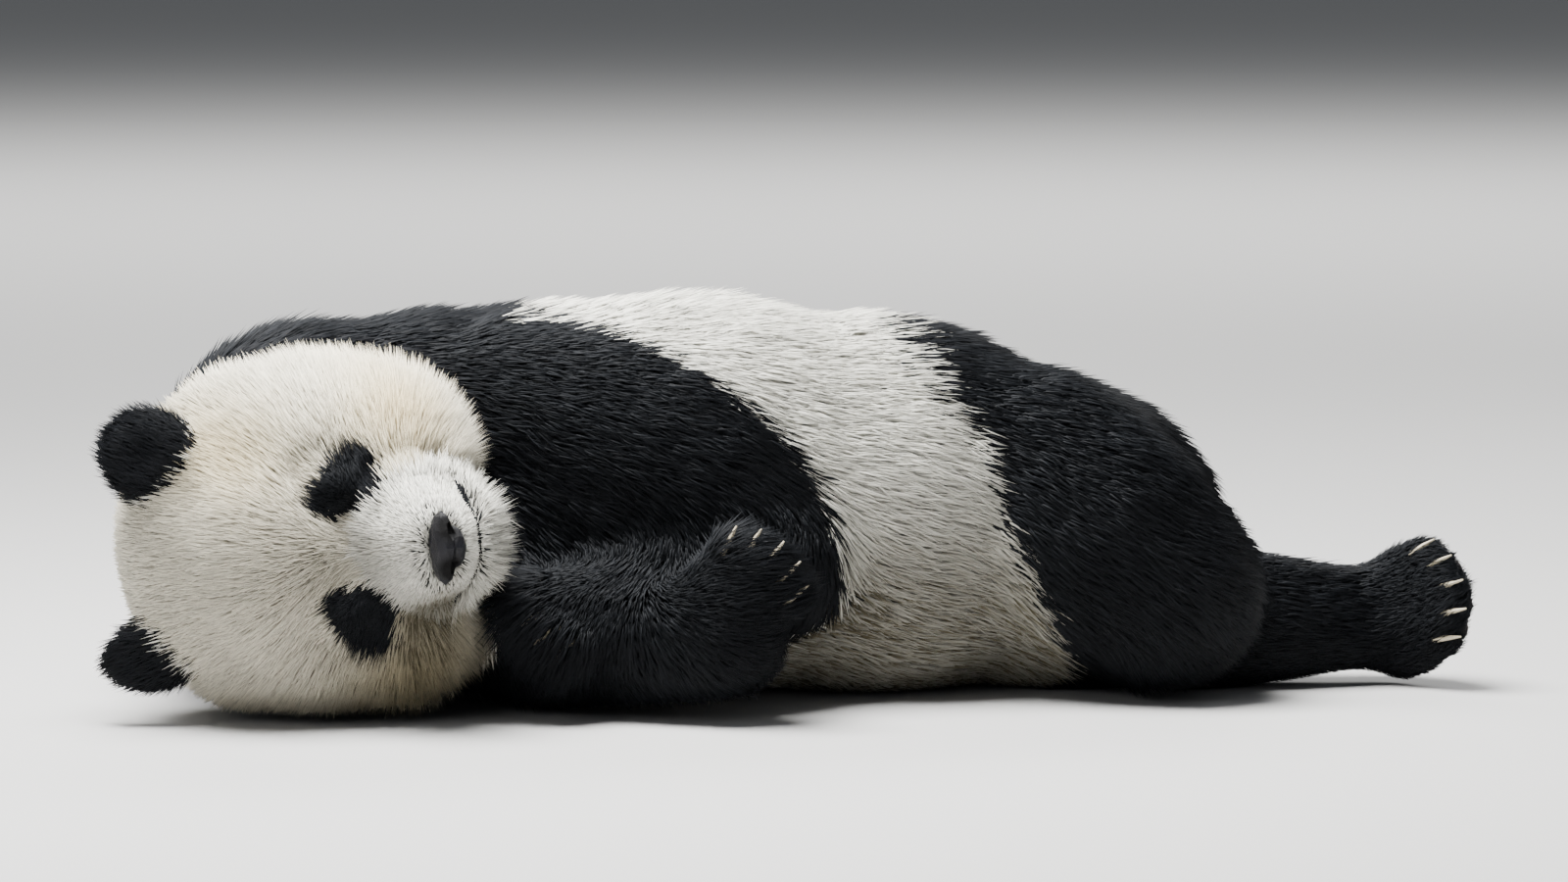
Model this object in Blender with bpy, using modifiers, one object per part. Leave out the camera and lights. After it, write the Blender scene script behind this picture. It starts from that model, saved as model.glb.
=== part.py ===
"""Giant panda asleep on its right side, at life size: the solids of its body, one object for each named part.

The body is shaped whole from rounded masses hung on a skeleton of named places, blended into one closed form
out to the tips of the coat, and then parted with thin cuts. The animal lies with its spine along X (rump at +X),
its back towards +Y, its belly towards -Y and its left side up. Its head is bent forward over its forelegs.
"""

import math

import bmesh
import bpy
from mathutils import Matrix, Vector

# Thin cuts and fits
CUT = 0.0003  # the gap left between two neighbouring parts
FLOOR = 0.0  # the one level that the animal rests on

# Blending of the whole body
VOXEL = 0.007
SMOOTH_ROUNDS = 4
FILLET = 0.014  # radius of the soft valleys between two masses
BODY_TRIANGLES = 1460  # thins the whole body out before it is parted
TRUNK_VOXEL = 0.010
TRUNK_ROUNDS = 60
TRUNK_SWELL = 0.004  # gives back what the smoothing takes off
REGION_MARGIN = 0.020  # how far outside its own masses a part is cut
HEAD_REGION_VOXEL = 0.012
HEAD_REGION_MARGIN = 0.010
HEAD_REGION_ROUNDS = 12
HEAD_REGION_TRIANGLES = 90
LIMB_REGION_SIDES = 2  # bevel steps of the tube that a limb is cut out with: eight sides
LIMB_END_LENGTH = 0.75  # how far the tube's ends reach past the joint, as a share of its radius
LIMB_END_WIDTH = 0.55
PART_REACH = 4.0  # size of the cube that keeps one side of a flat cut

# Trunk: centre and half sizes of each mass
NECK_CENTRE = Vector((-0.485, -0.020, 0.193))
NECK_SIZE = Vector((0.168, 0.156, 0.190))
CHEST_CENTRE = Vector((-0.250, 0.050, 0.194))
CHEST_SIZE = Vector((0.270, 0.210, 0.200))
BELLY_CENTRE = Vector((-0.105, 0.030, 0.198))
BELLY_SIZE = Vector((0.310, 0.232, 0.207))
LOIN_CENTRE = Vector((0.090, 0.045, 0.184))
LOIN_SIZE = Vector((0.230, 0.218, 0.200))
RUMP_CENTRE = Vector((0.265, 0.085, 0.152))
RUMP_SIZE = Vector((0.190, 0.185, 0.163))
WITHERS_CENTRE = Vector((-0.370, 0.000, 0.214))
WITHERS_SIZE = Vector((0.180, 0.160, 0.178))
NECK_CUT_X = -0.420
CHEST_CUT_X = -0.270
RUMP_CUT_X = 0.170

# Tail: short and flat, lying down over the rump
TAIL_ROOT = Vector((0.382, 0.220, 0.186))
TAIL_TIP = Vector((0.445, 0.218, 0.100))
TAIL_RADIUS = 0.028
TAIL_TIP_RADIUS = 0.022

# Head: its own frame has F out along the nose, U to the crown and L to the animal's left
HEAD_CENTRE = Vector((-0.508, -0.250, 0.174))
HEAD_TURN = math.radians(28.0)  # nose turned from -Y towards +X, as the chin is tucked
HEAD_ROLL = math.radians(4.0)  # left side leant towards -X
SKULL_PLACE = (-0.030, 0.004, 0.005)
SKULL_SIZE = (0.126, 0.142, 0.171)
FOREHEAD_PLACE = (0.045, 0.010, 0.0)
FOREHEAD_SIZE = (0.090, 0.105, 0.118)
CHEEK_PLACE = (0.010, -0.050, 0.072)
CHEEK_SIZE = (0.113, 0.134, 0.114)
JOWL_PLACE = (0.050, -0.106, 0.060)
JOWL_SIZE = (0.092, 0.098, 0.112)
CHEEK_PRESS = 0.017  # how far the weight of the head flattens its lower side
JOWL_PRESS = 0.005
MUZZLE_PLACE = (0.144, -0.097, 0.0)
MUZZLE_SIZE = (0.079, 0.050, 0.064)
CHIN_PLACE = (0.122, -0.148, 0.0)
CHIN_SIZE = (0.074, 0.048, 0.066)
MUZZLE_REGION_PLACE = (0.142, -0.118, 0.0)
MUZZLE_REGION_SIZE = (0.070, 0.066, 0.056)
NOSE_PLACE = (0.213, -0.091, 0.0)
NOSE_SIZE = (0.018, 0.0125, 0.0365)
NOSE_FOOT_PLACE = (0.214, -0.102, 0.0)
NOSE_FOOT_SIZE = (0.016, 0.0115, 0.021)
NOSTRIL_PLACE = (0.228, -0.096, 0.0185)
NOSTRIL_SIZE = (0.011, 0.0065, 0.0115)
EYE_PLACE = (0.113, -0.026, 0.066)
EYE_RADIUS = 0.0125
EYE_HOLLOW_LIFT = 0.021
EYE_HOLLOW_RADIUS = 0.024

# Ears: round cups that face forwards and up
EAR_SIZE = (0.053, 0.053, 0.023)
EAR_FACING = (0.75, 0.55, 0.20)
EAR_ROOT = (0.0, 0.05, 0.07)
EAR_ROOT_SHARE = 0.38  # how far from the ear to the skull its root lies
EAR_ROOT_SIZE = (0.034, 0.034, 0.026)
EAR_CUP_SIZE = (0.034, 0.034, 0.012)
EAR_CUP_LIFT = 0.026
LEFT_EAR_CENTRE = Vector((-0.618, -0.312, 0.268))
RIGHT_EAR_CENTRE = Vector((-0.618, -0.292, 0.069))
EAR_SQUASH = 0.74  # the right ear is pressed flatter under the head

# Left foreleg, the upper one: shoulder, upper arm, elbow, wrist and paw, with the radius of the limb at each
LEFT_ARM = (
    (Vector((-0.290, -0.030, 0.268)), 0.122),
    (Vector((-0.108, -0.112, 0.243)), 0.113),
    (Vector((-0.022, -0.165, 0.145)), 0.080),
)
LEFT_FOREARM_END = (Vector((-0.148, -0.196, 0.112)), 0.056)
LEFT_PAW_CENTRE = Vector((-0.203, -0.232, 0.098))
LEFT_PAW_FORWARD = Vector((-0.80, -0.58, -0.12))
LEFT_PAW_BACK = Vector((-0.50, -0.80, 0.30))

# Right foreleg, the lower one, with its paw curled up in front of the chest
RIGHT_ARM = (
    (Vector((-0.320, -0.060, 0.120)), 0.115),
    (Vector((-0.230, -0.180, 0.074)), 0.072),
)
RIGHT_FOREARM_END = (Vector((-0.055, -0.268, 0.087)), 0.062)
RIGHT_PAW_CENTRE = Vector((-0.043, -0.285, 0.128))
RIGHT_PAW_FORWARD = Vector((0.60, -0.25, 0.76))
RIGHT_PAW_BACK = Vector((-0.20, -0.95, -0.15))
FOREPAW_SIZE = (0.064, 0.062, 0.048)

# Left hind leg, the upper one, folded with its sole facing back
LEFT_THIGH = (
    (Vector((0.245, -0.005, 0.205)), 0.132),
    (Vector((0.330, -0.062, 0.152)), 0.124),
    (Vector((0.385, -0.085, 0.112)), 0.102),
)
LEFT_HOCK = (Vector((0.420, 0.045, 0.134)), 0.050)
LEFT_FOOT_CENTRE = Vector((0.452, 0.152, 0.084))
LEFT_FOOT_FORWARD = Vector((0.36, 0.88, -0.30))
LEFT_FOOT_BACK = Vector((0.75, -0.20, 0.45))

# Right hind leg, the lower one, stretched out behind
RIGHT_THIGH = (
    (Vector((0.280, 0.030, 0.118)), 0.122),
    (Vector((0.420, 0.030, 0.072)), 0.082),
)
RIGHT_HOCK = (Vector((0.600, 0.064, 0.066)), 0.053)
RIGHT_FOOT_CENTRE = Vector((0.645, 0.040, 0.078))
RIGHT_FOOT_FORWARD = Vector((0.50, -0.68, 0.38))
RIGHT_FOOT_BACK = Vector((-0.82, -0.57, 0.0))
HINDPAW_SIZE = (0.088, 0.074, 0.038)

# Toes and claws: five on each foot, fanned over the front edge
TOES = 5
TOE_SPREAD = 0.78  # share of the foot's width that the toes cover
TOE_RADIUS = 0.0165
TOE_PLACE = (0.84, 0.86, -0.05)  # forward, outward and up, as shares of the paw's half sizes
CLAW_LENGTH = 0.029
CLAW_RADIUS = 0.0040
CLAW_POINTS = 4
CLAW_ROOT = (0.74, 0.78, 0.46)  # shares of the paw's half sizes
CLAW_BEND = 0.42  # how far the tip drops, as a share of the length
CLAW_TAPER = 0.78
CLAW_FAN = 0.3  # how far the claws turn with their toes

# Finishes: colours (linear RGB) and roughness
WHITE_FUR = (0.80, 0.74, 0.62)
BLACK_FUR = (0.012, 0.012, 0.015)
HORN = (0.62, 0.55, 0.40)
NOSE_LEATHER = (0.018, 0.017, 0.019)
EYE_BROWN = (0.030, 0.014, 0.006)
HORN_ROUGHNESS = 0.4
LEATHER_ROUGHNESS = 0.45
EYE_ROUGHNESS = 0.1
BLACK_ROUGHNESS = 0.7
WHITE_ROUGHNESS = 0.8


def clear_scene():
    for obj in list(bpy.data.objects):
        bpy.data.objects.remove(obj, do_unlink=True)


def collection(name):
    made = bpy.data.collections.new(name)
    bpy.context.scene.collection.children.link(made)
    return made


def finish_material(name, colour, roughness):
    made = bpy.data.materials.new(name)
    made.use_nodes = True
    shader = made.node_tree.nodes["Principled BSDF"]
    shader.inputs["Base Color"].default_value = (*colour, 1.0)
    shader.inputs["Roughness"].default_value = roughness
    shader.inputs["Metallic"].default_value = 0.0
    made.diffuse_color = (*colour, 1.0)
    return made


def add_object(name, mesh, home):
    obj = bpy.data.objects.new(name, mesh)
    home.objects.link(obj)
    return obj


def as_mesh(obj, name):
    """The evaluated mesh of an object with its place applied."""
    bpy.context.view_layer.update()
    graph = bpy.context.evaluated_depsgraph_get()
    mesh = bpy.data.meshes.new_from_object(obj.evaluated_get(graph))
    mesh.transform(obj.matrix_world)
    mesh.name = name
    return mesh


def turned(axes, centre):
    """A matrix from three axes (taken as given, then made square) and a place."""
    first = axes[0].normalized()
    second = (axes[1] - axes[1].project(first)).normalized()
    third = first.cross(second)
    turn = Matrix((first, second, third)).transposed().to_4x4()
    return Matrix.Translation(centre) @ turn


def head_frame():
    forward = Vector((math.sin(HEAD_TURN), -math.cos(HEAD_TURN), 0.0))
    crown = Vector((-math.cos(HEAD_TURN), -math.sin(HEAD_TURN), 0.0))
    roll = Matrix.Rotation(-HEAD_ROLL, 3, "Y")
    return turned((roll @ forward, roll @ crown), HEAD_CENTRE)


HEAD = head_frame()


def on_head(place, side=1.0):
    """A place in the head's frame (F, U, L); side -1 mirrors it to the animal's right."""
    # the frame's third axis is F x U, which is the animal's right
    return HEAD @ Vector((place[0], place[1], -place[2] * side))


def ellipsoid(size, matrix, detail=3):
    """A closed rounded mass as a mesh."""
    mesh = bpy.data.meshes.new("mass")
    form = bmesh.new()
    bmesh.ops.create_icosphere(form, subdivisions=detail, radius=1.0)
    bmesh.ops.scale(form, vec=Vector(size), verts=form.verts)
    form.transform(matrix)
    form.to_mesh(mesh)
    form.free()
    return mesh


def head_mass(place, size, side=1.0, detail=3):
    return ellipsoid(size, Matrix.Translation(on_head(place, side)) @ HEAD.to_3x3().to_4x4(), detail)


def trunk_mass(centre, size):
    return ellipsoid(size, Matrix.Translation(centre))


def limb(stations):
    """A limb that tapers through its stations, each a place and a radius, as a curve with round ends."""
    curve = bpy.data.curves.new("limb", "CURVE")
    curve.dimensions = "3D"
    curve.bevel_depth = 1.0
    curve.bevel_resolution = 6
    curve.resolution_u = 8
    curve.use_fill_caps = True
    spline = curve.splines.new("BEZIER")
    spline.bezier_points.add(len(stations) - 1)
    for point, (place, radius) in zip(spline.bezier_points, stations):
        point.co = place
        point.radius = radius
        point.handle_left_type = "AUTO"
        point.handle_right_type = "AUTO"
    guide = add_object("limb", curve, bpy.context.scene.collection)
    mesh = as_mesh(guide, "limb")
    bpy.data.objects.remove(guide, do_unlink=True)
    ends = [ellipsoid((r, r, r), Matrix.Translation(p)) for p, r in (stations[0], stations[-1])]
    return [mesh, *ends]


class Paw:
    """A forepaw or hind foot: its own frame has forward to the toes and up out of the back of the paw."""

    def __init__(self, centre, forward, back, size):
        ahead = forward.normalized()
        self.matrix = turned((ahead, back.cross(ahead)), centre)
        self.size = size

    def over_edge(self, shares, angle):
        """A place on the fan of the toes, from shares of the paw's half sizes."""
        ahead = shares[0] * math.cos(angle) * self.size[0]
        outward = shares[1] * math.sin(angle) * self.size[1]
        return self.matrix @ Vector((ahead, outward, shares[2] * self.size[2]))

    def toe_angles(self):
        return [math.asin(TOE_SPREAD) * (2.0 * n / (TOES - 1) - 1.0) for n in range(TOES)]

    def masses(self):
        made = [ellipsoid(self.size, self.matrix)]
        for angle in self.toe_angles():
            place = self.over_edge(TOE_PLACE, angle)
            made.append(ellipsoid((TOE_RADIUS,) * 3, Matrix.Translation(place), 2))
        return made

    def claws(self):
        """One curved claw for each toe, as a tapered tube that bends down towards its tip."""
        made = []
        turn = self.matrix.to_3x3()
        for angle in self.toe_angles():
            ahead = turn @ Vector((math.cos(CLAW_FAN * angle), math.sin(CLAW_FAN * angle), 0.0))
            down = turn @ Vector((0.0, 0.0, -1.0))
            made.append(claw_mesh(self.over_edge(CLAW_ROOT, angle), ahead, down))
        return made


def tube(stations, sides):
    """A closed tube through its stations, each a place and a radius, with flat ends."""
    curve = bpy.data.curves.new("tube", "CURVE")
    curve.dimensions = "3D"
    curve.bevel_depth = 1.0
    curve.bevel_resolution = sides
    curve.use_fill_caps = True
    spline = curve.splines.new("POLY")
    spline.points.add(len(stations) - 1)
    for point, (place, radius) in zip(spline.points, stations):
        point.co = (*place, 1.0)
        point.radius = radius
    guide = add_object("tube", curve, bpy.context.scene.collection)
    mesh = as_mesh(guide, "tube")
    bpy.data.objects.remove(guide, do_unlink=True)
    weld(mesh)
    return mesh


def claw_mesh(root, ahead, down):
    stations = []
    for n in range(CLAW_POINTS):
        share = n / (CLAW_POINTS - 1)
        drop = CLAW_BEND * share * share
        place = root + CLAW_LENGTH * (ahead * share + down * drop)
        stations.append((place, CLAW_RADIUS * (1.0 - CLAW_TAPER * share ** 1.5)))
    return tube(stations, 0)


def weld(mesh, within=0.00001):
    """Closes a tube's seams. Its faces become triangles, so that a cutter and its larger copy match."""
    form = bmesh.new()
    form.from_mesh(mesh)
    bmesh.ops.remove_doubles(form, verts=form.verts, dist=within)
    bmesh.ops.recalc_face_normals(form, faces=form.faces)
    bmesh.ops.triangulate(form, faces=form.faces)
    form.to_mesh(mesh)
    form.free()


def joined(meshes, name):
    """Several meshes as one, still as separate shells."""
    form = bmesh.new()
    for mesh in meshes:
        form.from_mesh(mesh)
    mesh = bpy.data.meshes.new(name)
    form.to_mesh(mesh)
    form.free()
    return mesh


def add_remesh(obj, voxel):
    step = obj.modifiers.new("remesh", "REMESH")
    step.mode = "VOXEL"
    step.voxel_size = voxel


def add_offset(obj, distance):
    step = obj.modifiers.new("offset", "DISPLACE")
    step.strength = distance
    step.mid_level = 0.0


def add_smooth(obj, rounds):
    step = obj.modifiers.new("smooth", "SMOOTH")
    step.factor = 0.5
    step.iterations = rounds


def add_thin_out(obj, triangles):
    bpy.context.view_layer.update()
    graph = bpy.context.evaluated_depsgraph_get()
    dense = obj.evaluated_get(graph).to_mesh()
    dense.calc_loop_triangles()
    step = obj.modifiers.new("thin_out", "DECIMATE")
    step.ratio = min(1.0, triangles / len(dense.loop_triangles))
    step.use_collapse_triangulate = True


def blended(meshes, name, home):
    """One closed body from overlapping masses, its valleys filled to a soft radius."""
    obj = add_object(name, joined(meshes, name), home)
    add_remesh(obj, VOXEL)
    add_smooth(obj, SMOOTH_ROUNDS)
    add_offset(obj, FILLET)
    add_remesh(obj, VOXEL)
    add_offset(obj, -FILLET)
    add_remesh(obj, VOXEL)
    add_smooth(obj, SMOOTH_ROUNDS)
    add_thin_out(obj, BODY_TRIANGLES)
    return obj


def evened(meshes, name, home):
    """One closed body from overlapping masses, with no dips left between them."""
    obj = add_object(name, joined(meshes, name), home)
    add_remesh(obj, TRUNK_VOXEL)
    add_smooth(obj, TRUNK_ROUNDS)
    add_offset(obj, TRUNK_SWELL)
    mesh = as_mesh(obj, name)
    bpy.data.objects.remove(obj, do_unlink=True)
    return mesh


def head_region(meshes, name, home):
    """The closed region that the head is cut out with: its own masses, a little larger."""
    obj = add_object(name, joined(meshes, name), home)
    add_remesh(obj, HEAD_REGION_VOXEL)
    add_offset(obj, HEAD_REGION_MARGIN)
    add_remesh(obj, HEAD_REGION_VOXEL)
    add_smooth(obj, HEAD_REGION_ROUNDS)
    add_thin_out(obj, HEAD_REGION_TRIANGLES)
    baked = as_mesh(obj, name)
    bpy.data.objects.remove(obj, do_unlink=True)
    return helper(name, baked, home)


def limb_region(stations, name, home):
    """The closed region that a length of limb is cut out with: a plain tube, a little wider, with blunt ends."""
    wide = [(place, radius + REGION_MARGIN) for place, radius in stations]
    ends = []
    for (place, radius), (next_place, _) in ((wide[0], wide[1]), (wide[-1], wide[-2])):
        beyond = place + (place - next_place).normalized() * radius * LIMB_END_LENGTH
        ends.append((beyond, radius * LIMB_END_WIDTH))
    return helper(name, tube([ends[0], *wide, ends[1]], LIMB_REGION_SIDES), home)


def round_region(centre_matrix, size, name, home):
    """The closed region that a rounded part is cut out with."""
    larger = [half + REGION_MARGIN for half in size]
    return helper(name, ellipsoid(larger, centre_matrix, 2), home)


def helper(name, mesh, home):
    obj = add_object(name, mesh, home)
    obj.hide_render = True
    obj.display_type = "WIRE"
    return obj


def grown(obj, name, home, by=CUT):
    """A copy of a cutter that is larger all over by the gap between neighbours."""
    copy = helper(name, obj.data.copy(), home)
    add_offset(copy, by)
    mesh = as_mesh(copy, name)
    bpy.data.objects.remove(copy, do_unlink=True)
    return helper(name, mesh, home)


def boolean(mesh, cutter, operation, name, home):
    """The mesh cut by, or kept inside, a cutter."""
    obj = add_object(name, mesh, home)
    step = obj.modifiers.new("cut", "BOOLEAN")
    step.operation = operation
    step.object = cutter
    made = as_mesh(obj, name)
    bpy.data.objects.remove(obj, do_unlink=True)
    return made


def loose_bodies(form):
    """The connected bodies of a bmesh, as lists of its faces."""
    left = set(form.faces)
    bodies = []
    while left:
        body, edge_of = set(), [left.pop()]
        while edge_of:
            face = edge_of.pop()
            body.add(face)
            for edge in face.edges:
                for near in edge.link_faces:
                    if near in left:
                        left.remove(near)
                        edge_of.append(near)
        bodies.append(body)
    return bodies


def signed_volume(faces):
    total = 0.0
    for face in faces:
        first = face.verts[0].co
        for a, b in zip(face.verts[1:], face.verts[2:]):
            total += first.dot(a.co.cross(b.co)) / 6.0
    return total


def largest_body(mesh):
    """Keeps the largest body of a cut piece and drops the chips beside it."""
    form = bmesh.new()
    form.from_mesh(mesh)
    bmesh.ops.remove_doubles(form, verts=form.verts, dist=0.000002)
    bodies = loose_bodies(form)
    keep = max(bodies, key=lambda body: abs(signed_volume(body)))
    drop = [face for body in bodies if body is not keep for face in body]
    bmesh.ops.delete(form, geom=drop, context="FACES")
    form.to_mesh(mesh)
    form.free()
    return mesh


def cut_at_floor(mesh):
    """Takes off what lies under the floor and closes the flats that are left."""
    form = bmesh.new()
    form.from_mesh(mesh)
    everything = [*form.verts, *form.edges, *form.faces]
    cut = bmesh.ops.bisect_plane(
        form, geom=everything, dist=0.00001, plane_co=(0, 0, FLOOR), plane_no=(0, 0, 1), clear_inner=True
    )
    rim = [item for item in cut["geom_cut"] if isinstance(item, bmesh.types.BMEdge)]
    bmesh.ops.holes_fill(form, edges=rim, sides=0)
    bmesh.ops.triangulate(form, faces=form.faces)
    form.to_mesh(mesh)
    form.free()
    return mesh


def ear_frame(centre, side):
    """The ear's own frame: its third axis looks out of the cup, forwards and up from the head."""
    facing = (on_head(EAR_FACING, side) - HEAD_CENTRE).normalized()
    across = (on_head((0.0, 0.0, 1.0), side) - HEAD_CENTRE).normalized()
    return turned((across, facing.cross(across)), centre)


def ear_mesh(centre, side, squash, body, home):
    """A round ear: a thick disc with a shallow cup, on a short root, fitted against the body."""
    matrix = ear_frame(centre, side)
    size = (EAR_SIZE[0] * squash, EAR_SIZE[1], EAR_SIZE[2])
    place = Matrix.Translation(centre.lerp(on_head(EAR_ROOT, side), EAR_ROOT_SHARE))
    root_size = (EAR_ROOT_SIZE[0] * squash, EAR_ROOT_SIZE[1], EAR_ROOT_SIZE[2])
    root = helper("ear_root", ellipsoid(root_size, place @ matrix.to_3x3().to_4x4(), 1), home)
    cup_place = matrix @ Matrix.Translation((0.0, 0.0, EAR_CUP_LIFT))
    cup = helper("ear_cup", ellipsoid(EAR_CUP_SIZE, cup_place, 1), home)
    mesh = boolean(ellipsoid(size, matrix), root, "UNION", "ear", home)
    mesh = boolean(mesh, body, "DIFFERENCE", "ear", home)
    return largest_body(boolean(mesh, cup, "DIFFERENCE", "ear", home))


def centred(meshes):
    """Moves every mesh so that the middle of the whole animal's outline stands over the origin."""
    places = [vert.co for mesh in meshes for vert in mesh.vertices]
    middle = [(min(p[axis] for p in places) + max(p[axis] for p in places)) / 2 for axis in (0, 1)]
    for mesh in meshes:
        mesh.transform(Matrix.Translation((-middle[0], -middle[1], 0.0)))


def limbs():
    """The stations of each length of limb, lower lengths first, and of the tail."""
    return {
        "left_forearm": (LEFT_ARM[-1], LEFT_FOREARM_END),
        "right_forearm": (RIGHT_ARM[-1], RIGHT_FOREARM_END),
        "left_upper_arm": LEFT_ARM,
        "right_upper_arm": RIGHT_ARM,
        "left_shank": (LEFT_THIGH[-1], LEFT_HOCK),
        "right_shank": (RIGHT_THIGH[-1], RIGHT_HOCK),
        "left_thigh": LEFT_THIGH,
        "right_thigh": RIGHT_THIGH,
        "tail": ((TAIL_ROOT, TAIL_RADIUS), (TAIL_TIP, TAIL_TIP_RADIUS)),
    }


def parted(mesh, place, normal, names, home):
    """Two pieces of a mesh on either side of a thin flat cut."""
    matrix = turned((normal, normal.orthogonal()), place)
    pieces = {}
    for name, side in zip(names, (1.0, -1.0)):
        half = PART_REACH / 2
        box = Matrix.Translation((side * (half + CUT / 2), 0.0, 0.0)) @ Matrix.Scale(PART_REACH, 4)
        cutter = bpy.data.meshes.new("half")
        form = bmesh.new()
        bmesh.ops.create_cube(form, size=1.0, matrix=matrix @ box)
        form.to_mesh(cutter)
        form.free()
        keep = helper("half_" + name, cutter, home)
        pieces[name] = largest_body(boolean(mesh.copy(), keep, "INTERSECT", name, home))
    return pieces


def paws():
    return {
        "left_forepaw": Paw(LEFT_PAW_CENTRE, LEFT_PAW_FORWARD, LEFT_PAW_BACK, FOREPAW_SIZE),
        "right_forepaw": Paw(RIGHT_PAW_CENTRE, RIGHT_PAW_FORWARD, RIGHT_PAW_BACK, FOREPAW_SIZE),
        "left_hind_foot": Paw(LEFT_FOOT_CENTRE, LEFT_FOOT_FORWARD, LEFT_FOOT_BACK, HINDPAW_SIZE),
        "right_hind_foot": Paw(RIGHT_FOOT_CENTRE, RIGHT_FOOT_FORWARD, RIGHT_FOOT_BACK, HINDPAW_SIZE),
    }


def trunk_masses():
    return [
        trunk_mass(NECK_CENTRE, NECK_SIZE),
        trunk_mass(WITHERS_CENTRE, WITHERS_SIZE),
        trunk_mass(CHEST_CENTRE, CHEST_SIZE),
        trunk_mass(BELLY_CENTRE, BELLY_SIZE),
        trunk_mass(LOIN_CENTRE, LOIN_SIZE),
        trunk_mass(RUMP_CENTRE, RUMP_SIZE),
    ]


def head_masses():
    made = [
        head_mass(SKULL_PLACE, SKULL_SIZE),
        head_mass(FOREHEAD_PLACE, FOREHEAD_SIZE),
    ]
    for side, weight in ((1.0, 0.0), (-1.0, 1.0)):
        for place, size, press in ((CHEEK_PLACE, CHEEK_SIZE, CHEEK_PRESS), (JOWL_PLACE, JOWL_SIZE, JOWL_PRESS)):
            pressed = (place[0], place[1], place[2] - press * weight)
            made.append(head_mass(pressed, size, side))
    return made


def nose_mesh(home):
    """The bare nose pad: a broad rounded wedge that narrows towards the lip, with two nostrils."""
    foot = helper("nose_foot", head_mass(NOSE_FOOT_PLACE, NOSE_FOOT_SIZE, 1.0, 2), home)
    mesh = boolean(head_mass(NOSE_PLACE, NOSE_SIZE, 1.0, 2), foot, "UNION", "nose", home)
    for side in (1.0, -1.0):
        hole = helper("nostril", head_mass(NOSTRIL_PLACE, NOSTRIL_SIZE, side, 1), home)
        mesh = boolean(mesh, hole, "DIFFERENCE", "nose", home)
    return largest_body(mesh)


def eye_hollow(side, home):
    centre = on_head(EYE_PLACE, side)
    out = (centre - on_head((0.0, 0.0, 0.0))).normalized()
    place = Matrix.Translation(centre + out * EYE_HOLLOW_LIFT)
    return helper("eye_hollow", ellipsoid((EYE_HOLLOW_RADIUS,) * 3, place, 1), home)


def eye_mesh(side):
    return ellipsoid((EYE_RADIUS,) * 3, Matrix.Translation(on_head(EYE_PLACE, side)), 2)


def finish_of(name):
    """The colour and roughness of a named part."""
    if "claw" in name:
        return HORN, HORN_ROUGHNESS
    if name == "nose":
        return NOSE_LEATHER, LEATHER_ROUGHNESS
    if name.endswith("eye"):
        return EYE_BROWN, EYE_ROUGHNESS
    if name.startswith(("left_", "right_", "neck", "chest")):
        return BLACK_FUR, BLACK_ROUGHNESS
    return WHITE_FUR, WHITE_ROUGHNESS


def whole_body(feet, home):
    """The whole animal as one closed body, standing on its flats."""
    masses = [head_mass(MUZZLE_PLACE, MUZZLE_SIZE), head_mass(CHIN_PLACE, CHIN_SIZE)]
    masses += head_masses()
    masses.append(evened(trunk_masses() + limb(LEFT_THIGH) + limb(RIGHT_THIGH), "trunk", home))
    for paw in feet.values():
        masses += paw.masses()
    for stations in limbs().values():
        masses += limb(stations)
    whole = blended(masses, "whole", home)
    mesh = cut_at_floor(as_mesh(whole, "rest"))
    bpy.data.objects.remove(whole, do_unlink=True)
    return mesh


def fitted_pieces(feet, home):
    """The nose, eyes and claws, which sit in hollows of the body."""
    fitted = {"nose": nose_mesh(home), "left_eye": eye_mesh(1.0), "right_eye": eye_mesh(-1.0)}
    for paw_name, paw in feet.items():
        for n, mesh in enumerate(paw.claws(), 1):
            fitted[f"{paw_name}_claw_{n}"] = mesh
    return fitted


def regions(feet, home):
    """What each part is cut out with, in the order of cutting."""
    muzzle = Matrix.Translation(on_head(MUZZLE_REGION_PLACE)) @ HEAD.to_3x3().to_4x4()
    made = {
        "muzzle": round_region(muzzle, MUZZLE_REGION_SIZE, "region_muzzle", home),
        "head": head_region(head_masses(), "region_head", home),
    }
    for name, paw in feet.items():
        made[name] = round_region(paw.matrix, paw.size, "region_" + name, home)
    for name, stations in limbs().items():
        made[name] = limb_region(stations, "region_" + name, home)
    return made


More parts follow.
